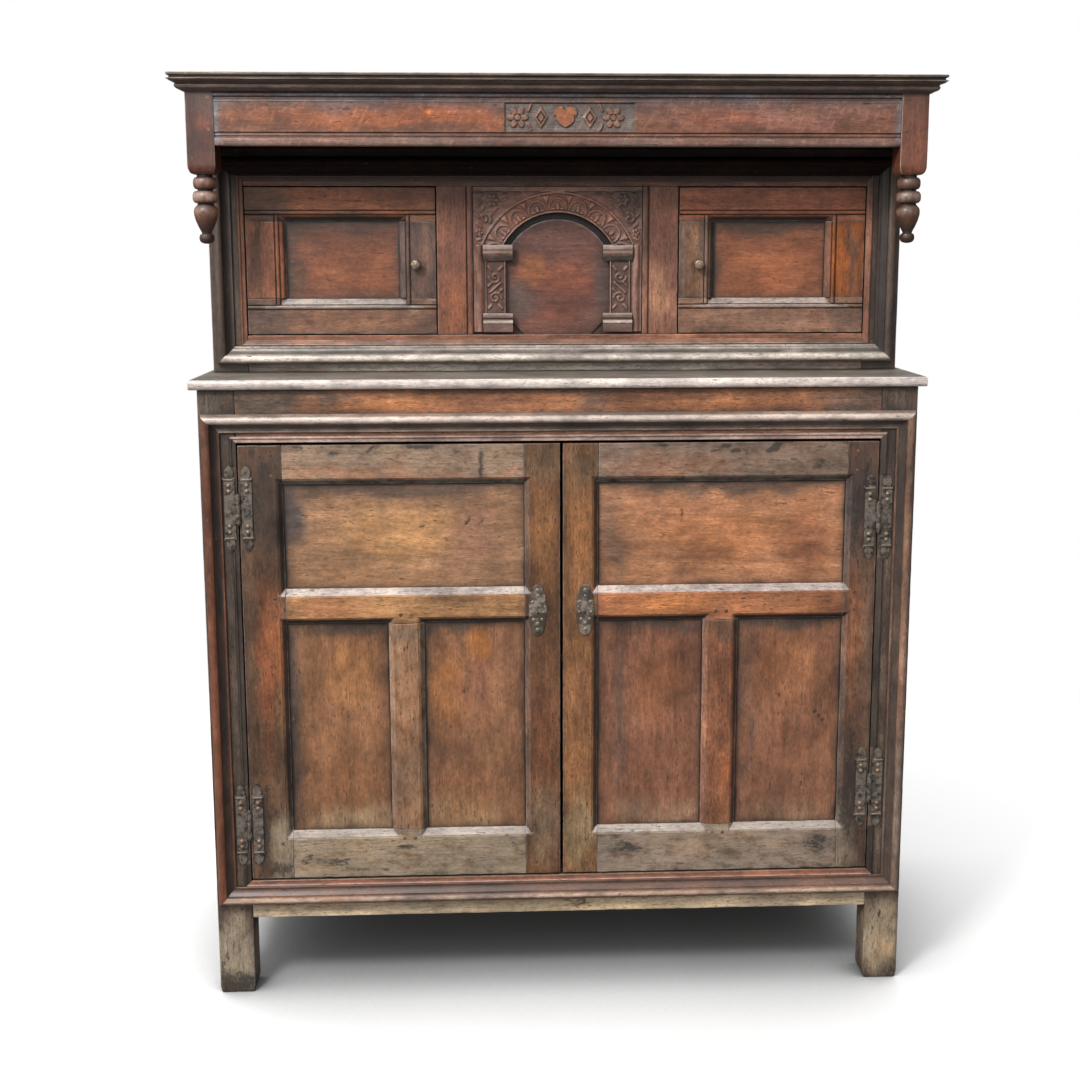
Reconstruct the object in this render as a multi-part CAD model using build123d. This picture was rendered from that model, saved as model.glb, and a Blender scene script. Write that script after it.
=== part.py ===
from build123d import *
import os

# Court cupboard of joined oak: a closed lower stage with two panelled doors, a recessed
# upper stage with two small doors and an arched centre panel, and a canopy on two drops.
# Millimetres. X runs to the right, Y to the back, Z up; the origin is on the floor, under
# the middle of the whole piece.

# Carcass
body_width = 1332.0
carcass_depth = 540.0
stile_width = 67.6
front_stile_depth = 56.0
rear_stile_width = 50.0
rear_stile_depth = 45.0
rail_thickness = 28.0
side_rail_thickness = 26.0
back_rail_thickness = 24.0
back_board_thickness = 10.0

# Lower stage, from the floor up
foot_height = 154.0
bottom_rail_height = 76.0
lower_opening_height = 854.0
top_rail_height = 98.0
deck_thickness = 18.0
deck_overhang_side = 13.0
deck_overhang_front = 14.0
deck_front_board = 262.0
deck_nose_radius = 7.2
side_mid_rail_height = 80.0
side_mid_rail_drop = 40.0
floor_thickness = 12.0
floor_board_count = 5
bearer_size = 20.0
shelf_rise = 410.0
shelf_thickness = 16.0
shelf_setback = 60.0
back_board_count = 6
board_gap = 0.6

# Upper stage, from the deck up
upper_recess = 150.0
upper_stile_depth = 50.0
upper_bottom_rail_height = 71.0
upper_opening_height = 283.0
upper_top_rail_height = 100.0
canopy_rise = 176.0
muntin_inner = 164.0
muntin_width = 68.6
muntin_thickness = 22.0

# Arched centre panel
arch_board_setback = 14.0
arch_board_thickness = 10.0
facade_setback = 2.0
facade_half_width = 156.8
facade_strip = 10.0
facade_foot = 5.0
facade_head_gap = 1.0
arch_radius = 119.8
arch_half_width = 104.9
arch_spring_rise = 172.0
archivolt_width = 22.0
archivolt_proud = 3.0
pilaster_inner = 100.4
pilaster_outer = 140.4
capital_inner = 87.1
capital_outer = 144.5
capital_height = 29.0
capital_proud = 7.0
neck_proud = 4.2
pilaster_proud = 3.0
plinth_inner = 89.1
plinth_outer = 142.5
plinth_height = 36.0
plinth_proud = 6.0

# Canopy
post_size = 50.0
frieze_height = 112.0
frieze_thickness = 26.0
post_drop = 50.0
post_end_round = 10.0
soffit_rise = 6.0
soffit_thickness = 12.0
top_board_thickness = 12.0
top_board_count = 3
cornice_height = 18.0
cornice_overhang_side = 25.0
cornice_overhang_front = 28.0
cornice_projection = 22.0
tablet_width = 240.0
tablet_height = 52.0
tablet_depth = 4.0
tablet_offset = 21.5
tablet_rise = 24.0
heart_size = 20.0

# Turned drops under the canopy posts
drop_neck_radius = 14.0
drop_neck = 4.0
drop_ring_radius = 21.0
drop_ring_height = 21.0
drop_vase_radius = 21.5
drop_vase_height = 50.0
drop_tip_radius = 8.5
drop_button_radius = 13.5
drop_button_height = 17.0

# Mouldings planted round the two openings
ridge_width = 34.0
ridge_proud = 20.0
ridge_round = 6.0
bead_width = 12.0
bead_proud = 4.0
lower_ridge_side = 5.0
lower_ridge_top = 45.0
lower_ridge_bottom = 31.0
upper_ridge_side = 10.0
upper_ridge_rise = 16.0
upper_bead_rise = 9.0

# Joints
tenon_length = 42.0
tenon_thickness = 9.0
tenon_shoulder = 11.0
side_tenon_length = 26.0
joint_gap = 0.2
cut_over = 1.0
groove_depth = 7.0
panel_play = 0.8
peg_radius = 4.0
door_peg_radius = 3.5
peg_gap = 0.05
peg_inset = 20.0

# Side and back panels
side_panel_thickness = 9.0
side_panel_setback = 9.0
run_mould_width = 12.0
run_mould_depth = 8.0
run_mould_step = 1.5
sill_slope = 16.0

# Lower doors
door_thickness = 22.0
door_gap = 2.0
meeting_gap = 5.0
door_foot_gap = 4.0
door_head_gap = 5.0
meeting_stile = 66.6
left_hinge_stile = 80.0
right_hinge_stile = 59.4
door_bottom_rail = 94.0
door_lower_panel = 410.0
door_mid_rail = 68.0
door_top_rail = 75.0
door_muntin = 67.6
panel_setback = 10.0
panel_thickness = 7.0
door_tenon_length = 34.0
door_tenon_thickness = 6.0

# Iron hinges of the lower doors
hinge_length = 162.0
hinge_leaf_width = 20.0
hinge_collar_width = 22.0
hinge_collar_height = 5.0
collar_lip = 0.5
hinge_finial_height = 22.0
leaf_thickness = 2.5
knuckle_radius = 4.5
knuckle_length = 18.0
knuckle_clearance = 0.4
hinge_pin_radius = 2.4
pin_standoff = 0.5
pin_stub = 3.0
housing_gap = 0.5
hinge_overlap = 1.0
running_gap = 0.05
left_hinge_foot = 115.0
left_hinge_head = 123.0
right_hinge_foot = 170.0
right_hinge_head = 149.0
hinge_nail_margin = 10.0
hinge_nail_clear = 6.0
finial_root = 6.0
finial_waist = 8.0
nail_radius = 1.5
nail_head_radius = 4.0
nail_head_height = 1.6
nail_length = 12.0

# Lock and escutcheons
escutcheon_width = 35.0
escutcheon_height = 100.0
escutcheon_thickness = 1.6
escutcheon_inset = 45.0
keyhole_radius = 3.5
keyhole_slot = 14.0
lock_rise = 23.0
lock_width = 90.0
lock_height = 84.0
lock_depth = 18.0
bolt_length = 60.0
bolt_height = 14.0
bolt_thickness = 6.0
bolt_gap = 0.25
bolt_stub = 1.0
lock_inset = 3.0
keep_width = 30.0
keep_height = 34.0
keep_inset = 1.0
keep_lip = 5.0
keep_clear = 1.0
slip_bolt_radius = 4.0
slip_bolt_length = 120.0
slip_bolt_throw = 22.0
slip_bolt_clear = 2.0
slip_bolt_inset = 24.0
slip_bolt_standoff = 1.0
slip_bolt_drop = 2.0
staple_width = 24.0
staple_height = 14.0

# Upper doors
upper_door_rail_bottom = 68.0
upper_door_rail_top = 64.0
upper_hinge_stile = 75.8
upper_knob_stile = 69.7
pivot_radius = 4.0
pivot_length = 14.0
pivot_round_gap = 0.6
pivot_end_gap = 1.0
knob_inset = 38.0
knob_rise = 135.0
knob_radius = 10.0
knob_reach = 19.0
spindle_radius = 4.0
latch_length = 46.0
latch_tail = 12.0
latch_width = 14.0
latch_thickness = 6.0
latch_gap = 0.3

# Levels and faces that follow from the sizes above
half = body_width / 2
open_half = half - stile_width
y_face = -(carcass_depth - cornice_overhang_front) / 2
y_back = y_face + carcass_depth
y_upper = y_face + upper_recess
y_rear_stile = y_back - rear_stile_depth
z_open = foot_height + bottom_rail_height
z_head = z_open + lower_opening_height
z_carcass = z_head + top_rail_height
z_deck = z_carcass + deck_thickness
z_upper_open = z_deck + upper_bottom_rail_height
z_upper_head = z_upper_open + upper_opening_height
z_top = z_upper_head + canopy_rise
z_frieze = z_top - frieze_height
soffit_z = (z_frieze + soffit_rise, z_frieze + soffit_rise + soffit_thickness)
z_shelf = z_open + shelf_rise
z_lock = z_open + door_foot_gap + door_bottom_rail + door_lower_panel + lock_rise
z_knob = z_upper_open + knob_rise
side_inner = half - side_rail_thickness
side_panel_near = side_inner + side_panel_setback
rear_inner = half - rear_stile_width
post_inner = half - post_size


def solid(box):
    (x0, x1), (y0, y1), (z0, z1) = box
    return Pos((x0 + x1) / 2, (y0 + y1) / 2, (z0 + z1) / 2) * Box(x1 - x0, y1 - y0, z1 - z0)


def grown(box, gap):
    return [(low - gap, high + gap) for low, high in box]


def across(side, near, far):
    # X range from two distances off the middle; side is -1 for left, 1 for right
    return tuple(sorted((side * near, side * far)))


def tenons(box, along, thin, length, thickness=tenon_thickness):
    # the two end tenons of a rail that runs on one axis and is thin on another
    made = []
    for end, way in ((0, -1), (1, 1)):
        spans = list(box)
        edge = box[along][end]
        spans[along] = tuple(sorted((edge, edge + way * length)))
        middle = sum(box[thin]) / 2
        spans[thin] = (middle - thickness / 2, middle + thickness / 2)
        wide = 3 - along - thin
        spans[wide] = (box[wide][0] + tenon_shoulder, box[wide][1] - tenon_shoulder)
        made.append(spans)
    return made


def joined(box, tenon_boxes):
    return solid(box) + [solid(t) for t in tenon_boxes]


def mortised(shape, tenon_boxes):
    return shape - [solid(grown(t, joint_gap)) for t in tenon_boxes]


def profile(start, *steps):
    # closed face: a step of two numbers is a line, a step of four an arc through a middle point
    edges = []
    here = start
    for step in steps:
        there = step[-2:]
        edges.append(Line(here, there) if len(step) == 2 else ThreePointArc(here, step[:2], there))
        here = there
    if here != start:
        edges.append(Line(here, start))
    return make_face(edges)


def facing_front(y):
    # sketch plane that looks at the front: local x is X and local y is Z
    return Plane(origin=(0, y, 0), x_dir=(1, 0, 0), z_dir=(0, -1, 0))


def front_plate(face, y_range):
    return extrude(facing_front(y_range[0]) * face, -(y_range[1] - y_range[0]))


def rod_y(x, z, radius, y_range):
    middle = (y_range[0] + y_range[1]) / 2
    return Pos(x, middle, z) * Rot(90, 0, 0) * Cylinder(radius, y_range[1] - y_range[0])


def rod_z(x, y, radius, z_range):
    return Pos(x, y, (z_range[0] + z_range[1]) / 2) * Cylinder(radius, z_range[1] - z_range[0])


def frame_opening(plane, along, z, near):
    # block over a framed opening: plane "front" is thin in Y, plane "side" is thin in X
    return [along, near, z] if plane == "front" else [near, along, z]


def panel_in(plane, along, z, thick, gap):
    reach = groove_depth - panel_play
    spans = []
    for margin, slack in ((reach, 0), (groove_depth, gap)):
        (along_span, z_span) = grown((along, z), margin)
        near = (thick[0] - slack, thick[1] + slack)
        spans.append(solid(frame_opening(plane, along_span, z_span, near)))
    return spans


def run_moulding(x, z, y, sill=sill_slope):
    # what the plane takes off the front edges of a framed opening, mitred at the corners
    def ring(edge, foot, y_level):
        corners = ((x[0] - edge, z[0] - foot), (x[1] + edge, z[1] + edge))
        (x0, z0), (x1, z1) = corners
        return facing_front(y_level) * (Pos((x0 + x1) / 2, (z0 + z1) / 2) * Rectangle(x1 - x0, z1 - z0))

    step = extrude(ring(run_mould_width, sill, y), -run_mould_step)
    slope = loft(
        [
            ring(run_mould_width - run_mould_step, sill - run_mould_step, y + run_mould_step).face(),
            ring(0, 0, y + run_mould_depth).face(),
        ]
    )
    return [step, slope]


def ridge_profile():
    crest = ridge_proud - ridge_round
    outer = ridge_round - 1
    inner = outer + 2 * ridge_round
    foot = 3.0
    return profile(
        (0, 0),
        (0, crest / 2),
        (outer, crest - 3),
        (outer, crest),
        (outer + ridge_round, ridge_proud, inner, crest),
        (inner, crest - 3),
        ((inner + ridge_width) / 2 - 3, (crest + foot) / 2 - 3, ridge_width - foot, foot),
        (ridge_width, foot),
        (ridge_width, 0),
    )


def bead_profile():
    quirk = 1.0
    return profile(
        (0, 0),
        (0, quirk),
        (quirk, quirk),
        (bead_width / 2, bead_proud, bead_width - quirk, quirk),
        (bead_width, quirk),
        (bead_width, 0),
    )


def mitred_frame(x, z, y, face, width, proud):
    # four lengths of one moulding round an opening; the profile starts at the outer edge
    bars = (
        ((x[0], y, z[0]), (0, 0, 1), (1, 0, 0), x[1] - x[0]),
        ((x[1], y, z[1]), (0, 0, -1), (-1, 0, 0), x[1] - x[0]),
        ((x[0], y, z[1]), (1, 0, 0), (0, 0, -1), z[1] - z[0]),
        ((x[1], y, z[0]), (-1, 0, 0), (0, 0, 1), z[1] - z[0]),
    )
    outer = ((x[0], z[0]), (x[1], z[0]), (x[1], z[1]), (x[0], z[1]))
    inner = (
        (x[0] + width, z[0] + width),
        (x[1] - width, z[0] + width),
        (x[1] - width, z[1] - width),
        (x[0] + width, z[1] - width),
    )
    corners = ((0, 1), (2, 3), (3, 0), (1, 2))
    made = []
    for (origin, u_dir, run, length), (a, b) in zip(bars, corners):
        bar = extrude(Plane(origin=origin, x_dir=u_dir, z_dir=run) * face, length)
        mitre = make_face(Polyline(outer[a], outer[b], inner[b], inner[a], close=True))
        made.append(bar & front_plate(mitre, (y - proud - cut_over, y + cut_over)))
    return made


def pegs_at(places, radius, y_range):
    pegs = [rod_y(x, z, radius, y_range) for x, z in places]
    hole_range = (y_range[0] - cut_over, y_range[1] + peg_gap)
    holes = [rod_y(x, z, radius + peg_gap, hole_range) for x, z in places]
    return pegs, holes


def rail_peg_places(box, inset):
    # two pegs through each end tenon of a front rail
    (x0, x1), _, (z0, z1) = box
    quarter = (z1 - z0) / 4
    return [(x, z) for x in (x0 - inset, x1 + inset) for z in (z0 + quarter, z1 - quarter)]


def boards(span, count):
    # ranges of equal boards laid side by side with a small gap
    width = (span[1] - span[0] - board_gap * (count - 1)) / count
    starts = [span[0] + i * (width + board_gap) for i in range(count)]
    return [(start, start + width) for start in starts]


def nail(x, z, y_seat, outward=-1):
    head = (y_seat + outward * nail_head_height, y_seat)
    shank = (y_seat, y_seat - outward * nail_length)
    shank_rod = rod_y(x, z, nail_radius, tuple(sorted(shank)))
    return rod_y(x, z, nail_head_radius, tuple(sorted(head))) + shank_rod


def nail_hole(x, z, y_seat):
    depth = (y_seat - leaf_thickness - cut_over, y_seat + nail_length + peg_gap)
    return rod_y(x, z, nail_radius + peg_gap, depth)


# ---- Iron hinge of a lower door ----

hinge_axis_x = open_half - door_gap / 2
hinge_axis_y = y_face - knuckle_radius - pin_standoff
leaf_near = knuckle_radius + 1.0
leaf_end = hinge_length / 2
collar_low = leaf_end - hinge_finial_height - hinge_collar_height
nail_offset = leaf_near + hinge_leaf_width * 0.55
nail_far = collar_low - hinge_nail_margin
nail_close = knuckle_length * 1.5 + hinge_nail_clear
nail_rises = (-nail_far, -nail_close, nail_close, nail_far)


def hinge_leaf(side, level, knuckles, door_leaf):
    # side says which door; the frame leaf lies outward of the pin, the door leaf inward
    way = -side if door_leaf else side
    plate_edge = leaf_near + hinge_leaf_width
    collar_edge = leaf_near + hinge_collar_width
    tip_x = leaf_near + hinge_leaf_width / 2
    collar_top = collar_low + hinge_collar_height

    def at(distance, rise):
        return (side * hinge_axis_x + way * distance, level + rise)

    outline = [at(near, end) for near, end in ((leaf_near, -collar_low), (plate_edge, -collar_low))]
    outline += [at(near, end) for near, end in ((plate_edge, collar_low), (leaf_near, collar_low))]
    plate = make_face(Polyline(*outline, close=True))
    seat = (y_face - leaf_thickness, y_face)
    leaf = front_plate(plate, seat)
    for up in (-1, 1):
        collar = [
            at(leaf_near - collar_lip, up * collar_low),
            at(collar_edge, up * collar_low),
            at(collar_edge, up * collar_top),
            at(leaf_near - collar_lip, up * collar_top),
        ]
        leaf += front_plate(make_face(Polyline(*collar, close=True)), seat)
        bulge = collar_top + hinge_finial_height * 0.45
        finial = profile(
            at(tip_x - finial_root, up * collar_top),
            (*at(tip_x - finial_waist, up * bulge), *at(tip_x, up * leaf_end)),
            (*at(tip_x + finial_waist, up * bulge), *at(tip_x + finial_root, up * collar_top)),
        )
        leaf += front_plate(finial, seat)
    axis_x = side * hinge_axis_x
    strap_x = tuple(sorted((axis_x, axis_x + way * (leaf_near + hinge_overlap))))
    for start in knuckles:
        foot = level + start
        z_range = (foot + knuckle_clearance / 2, foot + knuckle_length - knuckle_clearance / 2)
        leaf += solid([strap_x, seat, z_range])
        leaf += rod_z(axis_x, hinge_axis_y, knuckle_radius, z_range)
    bore = hinge_pin_radius + running_gap
    run = (level - 2 * knuckle_length, level + 2 * knuckle_length)
    leaf -= rod_z(axis_x, hinge_axis_y, bore, run)
    places = [at(nail_offset, rise) for rise in nail_rises]
    leaf -= [nail_hole(x, z, y_face) for x, z in places]
    nails = [nail(x, z, y_face - leaf_thickness) for x, z in places]
    return leaf, nails, [nail_hole(x, z, y_face) for x, z in places]


def hinge_set(side, levels):
    frame_leaves, door_leaves, pins = [], [], []
    frame_holes, door_holes, housings = [], [], []
    length = knuckle_length
    for level in levels:
        leaf, nails, holes = hinge_leaf(side, level, (-1.5 * length, 0.5 * length), False)
        frame_leaves += [leaf] + nails
        frame_holes += holes
        leaf, nails, holes = hinge_leaf(side, level, (-0.5 * length,), True)
        door_leaves += [leaf] + nails
        door_holes += holes
        span = (level - 1.5 * length - pin_stub, level + 1.5 * length + pin_stub)
        pins.append(rod_z(side * hinge_axis_x, hinge_axis_y, hinge_pin_radius, span))
        leaf_far = hinge_axis_x + leaf_near + hinge_collar_width + housing_gap
        reach = across(side, open_half - cut_over, leaf_far)
        rise = (level - leaf_end - housing_gap, level + leaf_end + housing_gap)
        housings.append(solid([reach, (y_face - bead_proud - cut_over, y_face), rise]))
    return {
        "frame_leaves": frame_leaves,
        "door_leaves": door_leaves,
        "pins": pins,
        "frame_holes": frame_holes,
        "door_holes": door_holes,
        "housings": housings,
    }


# ---- Lower doors ----


def lower_door(side, hinge_stile, hinge_holes):
    edge = open_half - door_gap
    meet = meeting_gap / 2
    face = (y_face, y_face + door_thickness)
    z0 = z_open + door_foot_gap
    z1 = z_head - door_head_gap
    low = z0 + door_bottom_rail
    mid = low + door_lower_panel
    upper = mid + door_mid_rail
    top = z1 - door_top_rail
    inner = across(side, meet + meeting_stile, edge - hinge_stile)
    centre = sum(inner) / 2
    muntin_x = (centre - door_muntin / 2, centre + door_muntin / 2)
    rails = [[inner, face, (z0, low)], [inner, face, (mid, upper)], [inner, face, (top, z1)]]
    muntin = [muntin_x, face, (low, mid)]
    tenon = (door_tenon_length, door_tenon_thickness)
    rail_tenons = [t for rail in rails for t in tenons(rail, 0, 1, *tenon)]
    muntin_tenons = tenons(muntin, 2, 1, *tenon)
    thick = (y_face + panel_setback, y_face + panel_setback + panel_thickness)
    panels = [
        panel_in("front", inner, (upper, top), thick, joint_gap),
        panel_in("front", (inner[0], muntin_x[0]), (low, mid), thick, joint_gap),
        panel_in("front", (muntin_x[1], inner[1]), (low, mid), thick, joint_gap),
    ]
    cuts = [slot for _, slot in panels]
    cuts += run_moulding(inner, (upper, top), y_face)
    cuts += run_moulding((inner[0], muntin_x[0]), (low, mid), y_face)
    cuts += run_moulding((muntin_x[1], inner[1]), (low, mid), y_face)
    places = [p for rail in rails for p in rail_peg_places(rail, peg_inset)]
    reach = door_tenon_length / 2
    pair = (centre - peg_inset / 2, centre + peg_inset / 2)
    places += [(x, z) for x in pair for z in (low - reach, mid + reach)]
    pegs, peg_holes = pegs_at(places, door_peg_radius, face)
    plate_x = side * escutcheon_inset
    key = keyhole(plate_x, (y_face - cut_over, y_face + door_thickness + cut_over))
    cuts += peg_holes + hinge_holes + key
    stile_boxes = [
        [across(side, meet, meet + meeting_stile), face, (z0, z1)],
        [across(side, edge - hinge_stile, edge), face, (z0, z1)],
    ]
    blanks = [joined(rail, tenons(rail, 0, 1, *tenon)) for rail in rails]
    return {
        "stiles": [mortised(solid(box), rail_tenons) - cuts for box in stile_boxes],
        "rails": [mortised(blank, muntin_tenons) - cuts for blank in blanks],
        "muntin": [joined(muntin, muntin_tenons) - cuts],
        "upper_panel": [panels[0][0]],
        "lower_panels": [panels[1][0], panels[2][0]],
        "pegs": pegs,
    }


def keyhole(x, y_range):
    slot_x = (x - keyhole_radius / 2, x + keyhole_radius / 2)
    slot = solid([slot_x, y_range, (z_lock - keyhole_slot, z_lock)])
    return [rod_y(x, z_lock, keyhole_radius, y_range), slot]


def escutcheon(side):
    x = side * escutcheon_inset
    w = escutcheon_width / 2
    h = escutcheon_height / 2
    outline = profile(
        (x, z_lock - h),
        (x + w * 0.9, z_lock - h * 0.45, x + w, z_lock),
        (x + w * 0.9, z_lock + h * 0.45, x, z_lock + h),
        (x - w * 0.9, z_lock + h * 0.45, x - w, z_lock),
        (x - w * 0.9, z_lock - h * 0.45, x, z_lock - h),
    )
    seat = (y_face - escutcheon_thickness, y_face)
    plate = front_plate(outline, seat) - keyhole(x, (seat[0] - cut_over, seat[1] + cut_over))
    rises = [z_lock - h * 0.68, z_lock + h * 0.68]
    holes = [nail_hole(x, z, y_face) for z in rises]
    return [plate - holes] + [nail(x, z, seat[0]) for z in rises], holes


# ---- Lock on the back of the right lower door, keep and slip bolt on the left one ----


def lock_parts():
    y0 = y_face + door_thickness
    middle = y0 + lock_depth / 2
    lock_edge = meeting_gap / 2 + lock_inset
    lock_x = (lock_edge, lock_edge + lock_width)
    rise = (z_lock - bolt_height / 2, z_lock + bolt_height / 2)
    thick = (middle - bolt_thickness / 2, middle + bolt_thickness / 2)
    bolt_tip = lock_edge - bolt_stub
    bolt = [(bolt_tip, bolt_tip + bolt_length), thick, rise]
    channel = grown(bolt, bolt_gap)
    channel[0] = (lock_edge - keep_lip, bolt[0][1] + bolt_gap)
    case = solid([lock_x, (y0, y0 + lock_depth), (z_lock - lock_height / 2, z_lock + lock_height / 2)])
    case -= solid(channel)
    case -= keyhole(escutcheon_inset, (y0 - cut_over, middle))
    notch_range = (thick[0] - cut_over, thick[1] + cut_over)
    notch = rod_y(escutcheon_inset, rise[0], keyhole_radius + 1, notch_range)
    keep_x = across(-1, meeting_gap / 2 + keep_inset, meeting_gap / 2 + keep_inset + keep_width)
    keep_z = (z_lock - keep_height / 2, z_lock + keep_height / 2)
    mouth = grown([(keep_x[0] + keep_lip, keep_x[1] + keep_lip), thick, rise], keep_clear)
    keep = solid([keep_x, (y0, y0 + lock_depth), keep_z]) - solid(mouth)
    return [case], [solid(bolt) - notch], [keep]


def slip_bolt_parts():
    y0 = y_face + door_thickness
    axis_y = y_face + rail_thickness + slip_bolt_radius + slip_bolt_standoff
    x = -(meeting_gap / 2 + slip_bolt_inset)
    top = z_head - door_head_gap - slip_bolt_drop
    bolt = rod_z(x, axis_y, slip_bolt_radius, (top - slip_bolt_length, top))
    high_staple = top - staple_height * 1.5
    low_staple = top - slip_bolt_length + staple_height
    grip = slip_bolt_radius * 0.8
    grip_y = axis_y + slip_bolt_radius * 3
    # the grip stops short of the upper staple when the bolt is thrown
    grip_z = high_staple - staple_height / 2 - slip_bolt_throw - grip - slip_bolt_clear
    bolt += rod_y(x, grip_z, grip, (axis_y, grip_y))
    staples = []
    for level in (low_staple, high_staple):
        body = [
            (x - staple_width / 2, x + staple_width / 2),
            (y0, axis_y + slip_bolt_radius * 1.8),
            (level - staple_height / 2, level + staple_height / 2),
        ]
        bore_range = (level - staple_height, level + staple_height)
        staples.append(solid(body) - rod_z(x, axis_y, slip_bolt_radius + running_gap, bore_range))
    return [bolt], staples


# ---- Lower carcass ----


def lower_carcass(frame_holes, housings):
    front = (y_face, y_face + rail_thickness)
    rails = [[(-open_half, open_half), front, z] for z in ((foot_height, z_open), (z_head, z_carcass))]
    rail_tenons = [t for r in rails for t in tenons(r, 0, 1, tenon_length)]
    side_y = (y_face + front_stile_depth, y_rear_stile)
    side_mid = z_shelf - side_mid_rail_drop
    side_z = [(foot_height, z_open), (side_mid, side_mid + side_mid_rail_height), (z_head, z_carcass)]
    side_boxes = [[across(s, side_inner, half), side_y, z] for s in (-1, 1) for z in side_z]
    side_tenons = [t for b in side_boxes for t in tenons(b, 1, 0, side_tenon_length)]
    back_y = (y_back - back_board_thickness - back_rail_thickness, y_back - back_board_thickness)
    back_rails = [[(-rear_inner, rear_inner), back_y, z] for z in (side_z[0], side_z[2])]
    back_tenons = [t for r in back_rails for t in tenons(r, 0, 1, side_tenon_length)]
    thick = (side_panel_near, side_panel_near + side_panel_thickness)
    panels = []
    for s in (-1, 1):
        for z in ((z_open, side_z[1][0]), (side_z[1][1], z_head)):
            panels.append(panel_in("side", side_y, z, across(s, *thick), joint_gap))
    slots = [slot for _, slot in panels]
    places = [p for r in rails for p in rail_peg_places(r, peg_inset)]
    stile_y = (y_face, y_face + front_stile_depth)
    pegs, holes = pegs_at(places, peg_radius, (y_face, stile_y[1] - peg_inset))
    height = (0, z_carcass)
    stile_boxes = [[across(s, open_half, half), stile_y, height] for s in (-1, 1)]
    rear_boxes = [[across(s, rear_inner, half), (y_rear_stile, y_back), height] for s in (-1, 1)]
    front_cuts = slots + holes + frame_holes
    stiles = [mortised(solid(b), rail_tenons + side_tenons) - front_cuts for b in stile_boxes]
    rear = [mortised(solid(b), side_tenons + back_tenons) - slots for b in rear_boxes]
    notches = [solid(grown(b, joint_gap)) for b in stile_boxes + rear_boxes]

    floor_y = (front[1], back_y[0])
    floor_z = (z_open - floor_thickness, z_open)
    inside = (-side_inner, side_inner)
    floor = [solid([x, floor_y, floor_z]) - notches for x in boards(inside, floor_board_count)]
    shelf_y = (y_face + shelf_setback, back_y[0])
    shelf_z = (z_shelf, z_shelf + shelf_thickness)
    shelf = [solid([inside, y, shelf_z]) - notches for y in boards(shelf_y, 2)]
    under_floor = (floor_z[0] - bearer_size, floor_z[0])
    bearers = [
        solid([(-open_half, open_half), (front[1], front[1] + bearer_size), under_floor]),
        solid([(-rear_inner, rear_inner), (back_y[0] - bearer_size, back_y[0]), under_floor]),
    ]
    shelf_under = (z_shelf - bearer_size, z_shelf)
    for s in (-1, 1):
        bearers.append(solid([across(s, side_inner - bearer_size, side_inner), side_y, shelf_under]))
    back_spans = boards((-rear_inner, rear_inner), back_board_count)
    back = [solid([x, (back_y[1], y_back), (foot_height, z_carcass)]) for x in back_spans]

    ridge_x = (-half + lower_ridge_side, half - lower_ridge_side)
    ridge_z = (foot_height + lower_ridge_bottom, z_carcass - lower_ridge_top)
    moulding = mitred_frame(ridge_x, ridge_z, y_face, ridge_profile(), ridge_width, ridge_proud)
    bead_x = (-open_half - bead_width, open_half + bead_width)
    bead_z = (z_open - bead_width, z_head + bead_width)
    beads = mitred_frame(bead_x, bead_z, y_face, bead_profile(), bead_width, bead_proud)
    moulding += [piece for bead in beads for piece in (bead - housings).solids()]

    deck_x = (-half - deck_overhang_side, half + deck_overhang_side)
    deck_y = (y_face - deck_overhang_front, y_back)
    joint_y = deck_y[0] + deck_front_board
    deck_z = (z_carcass, z_deck)
    front_board = solid([deck_x, (deck_y[0], joint_y), deck_z])
    nose = front_board.edges().filter_by(Axis.X).group_by(Axis.Y)[0]
    front_board = fillet(nose, deck_nose_radius)
    deck = [front_board, solid([deck_x, (joint_y + board_gap, deck_y[1]), deck_z])]
    return {
        "lower_front_stiles": stiles,
        "lower_rear_stiles": rear,
        "lower_front_rails": [joined(r, tenons(r, 0, 1, tenon_length)) - holes for r in rails],
        "lower_side_rails": [joined(b, tenons(b, 1, 0, side_tenon_length)) - slots for b in side_boxes],
        "lower_side_panels": [panel for panel, _ in panels],
        "lower_back_rails": [joined(r, tenons(r, 0, 1, side_tenon_length)) for r in back_rails],
        "lower_back_boards": back,
        "cupboard_floor_boards": floor,
        "cupboard_shelf_boards": shelf,
        "floor_and_shelf_bearers": bearers,
        "lower_opening_moulding": moulding,
        "deck_boards": deck,
    }, pegs


# ---- Upper stage ----

pivot_x = open_half - door_gap - door_thickness / 2
pivot_y = y_upper + door_thickness / 2


def upper_stile_boxes():
    stile_y = (y_upper, y_upper + upper_stile_depth)
    return [[across(s, open_half, half), stile_y, (z_deck, z_top)] for s in (-1, 1)]


def side_frieze_boxes():
    run = (y_face + post_size, y_upper)
    return [[across(s, half - frieze_thickness, half), run, (z_frieze, z_top)] for s in (-1, 1)]


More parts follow.
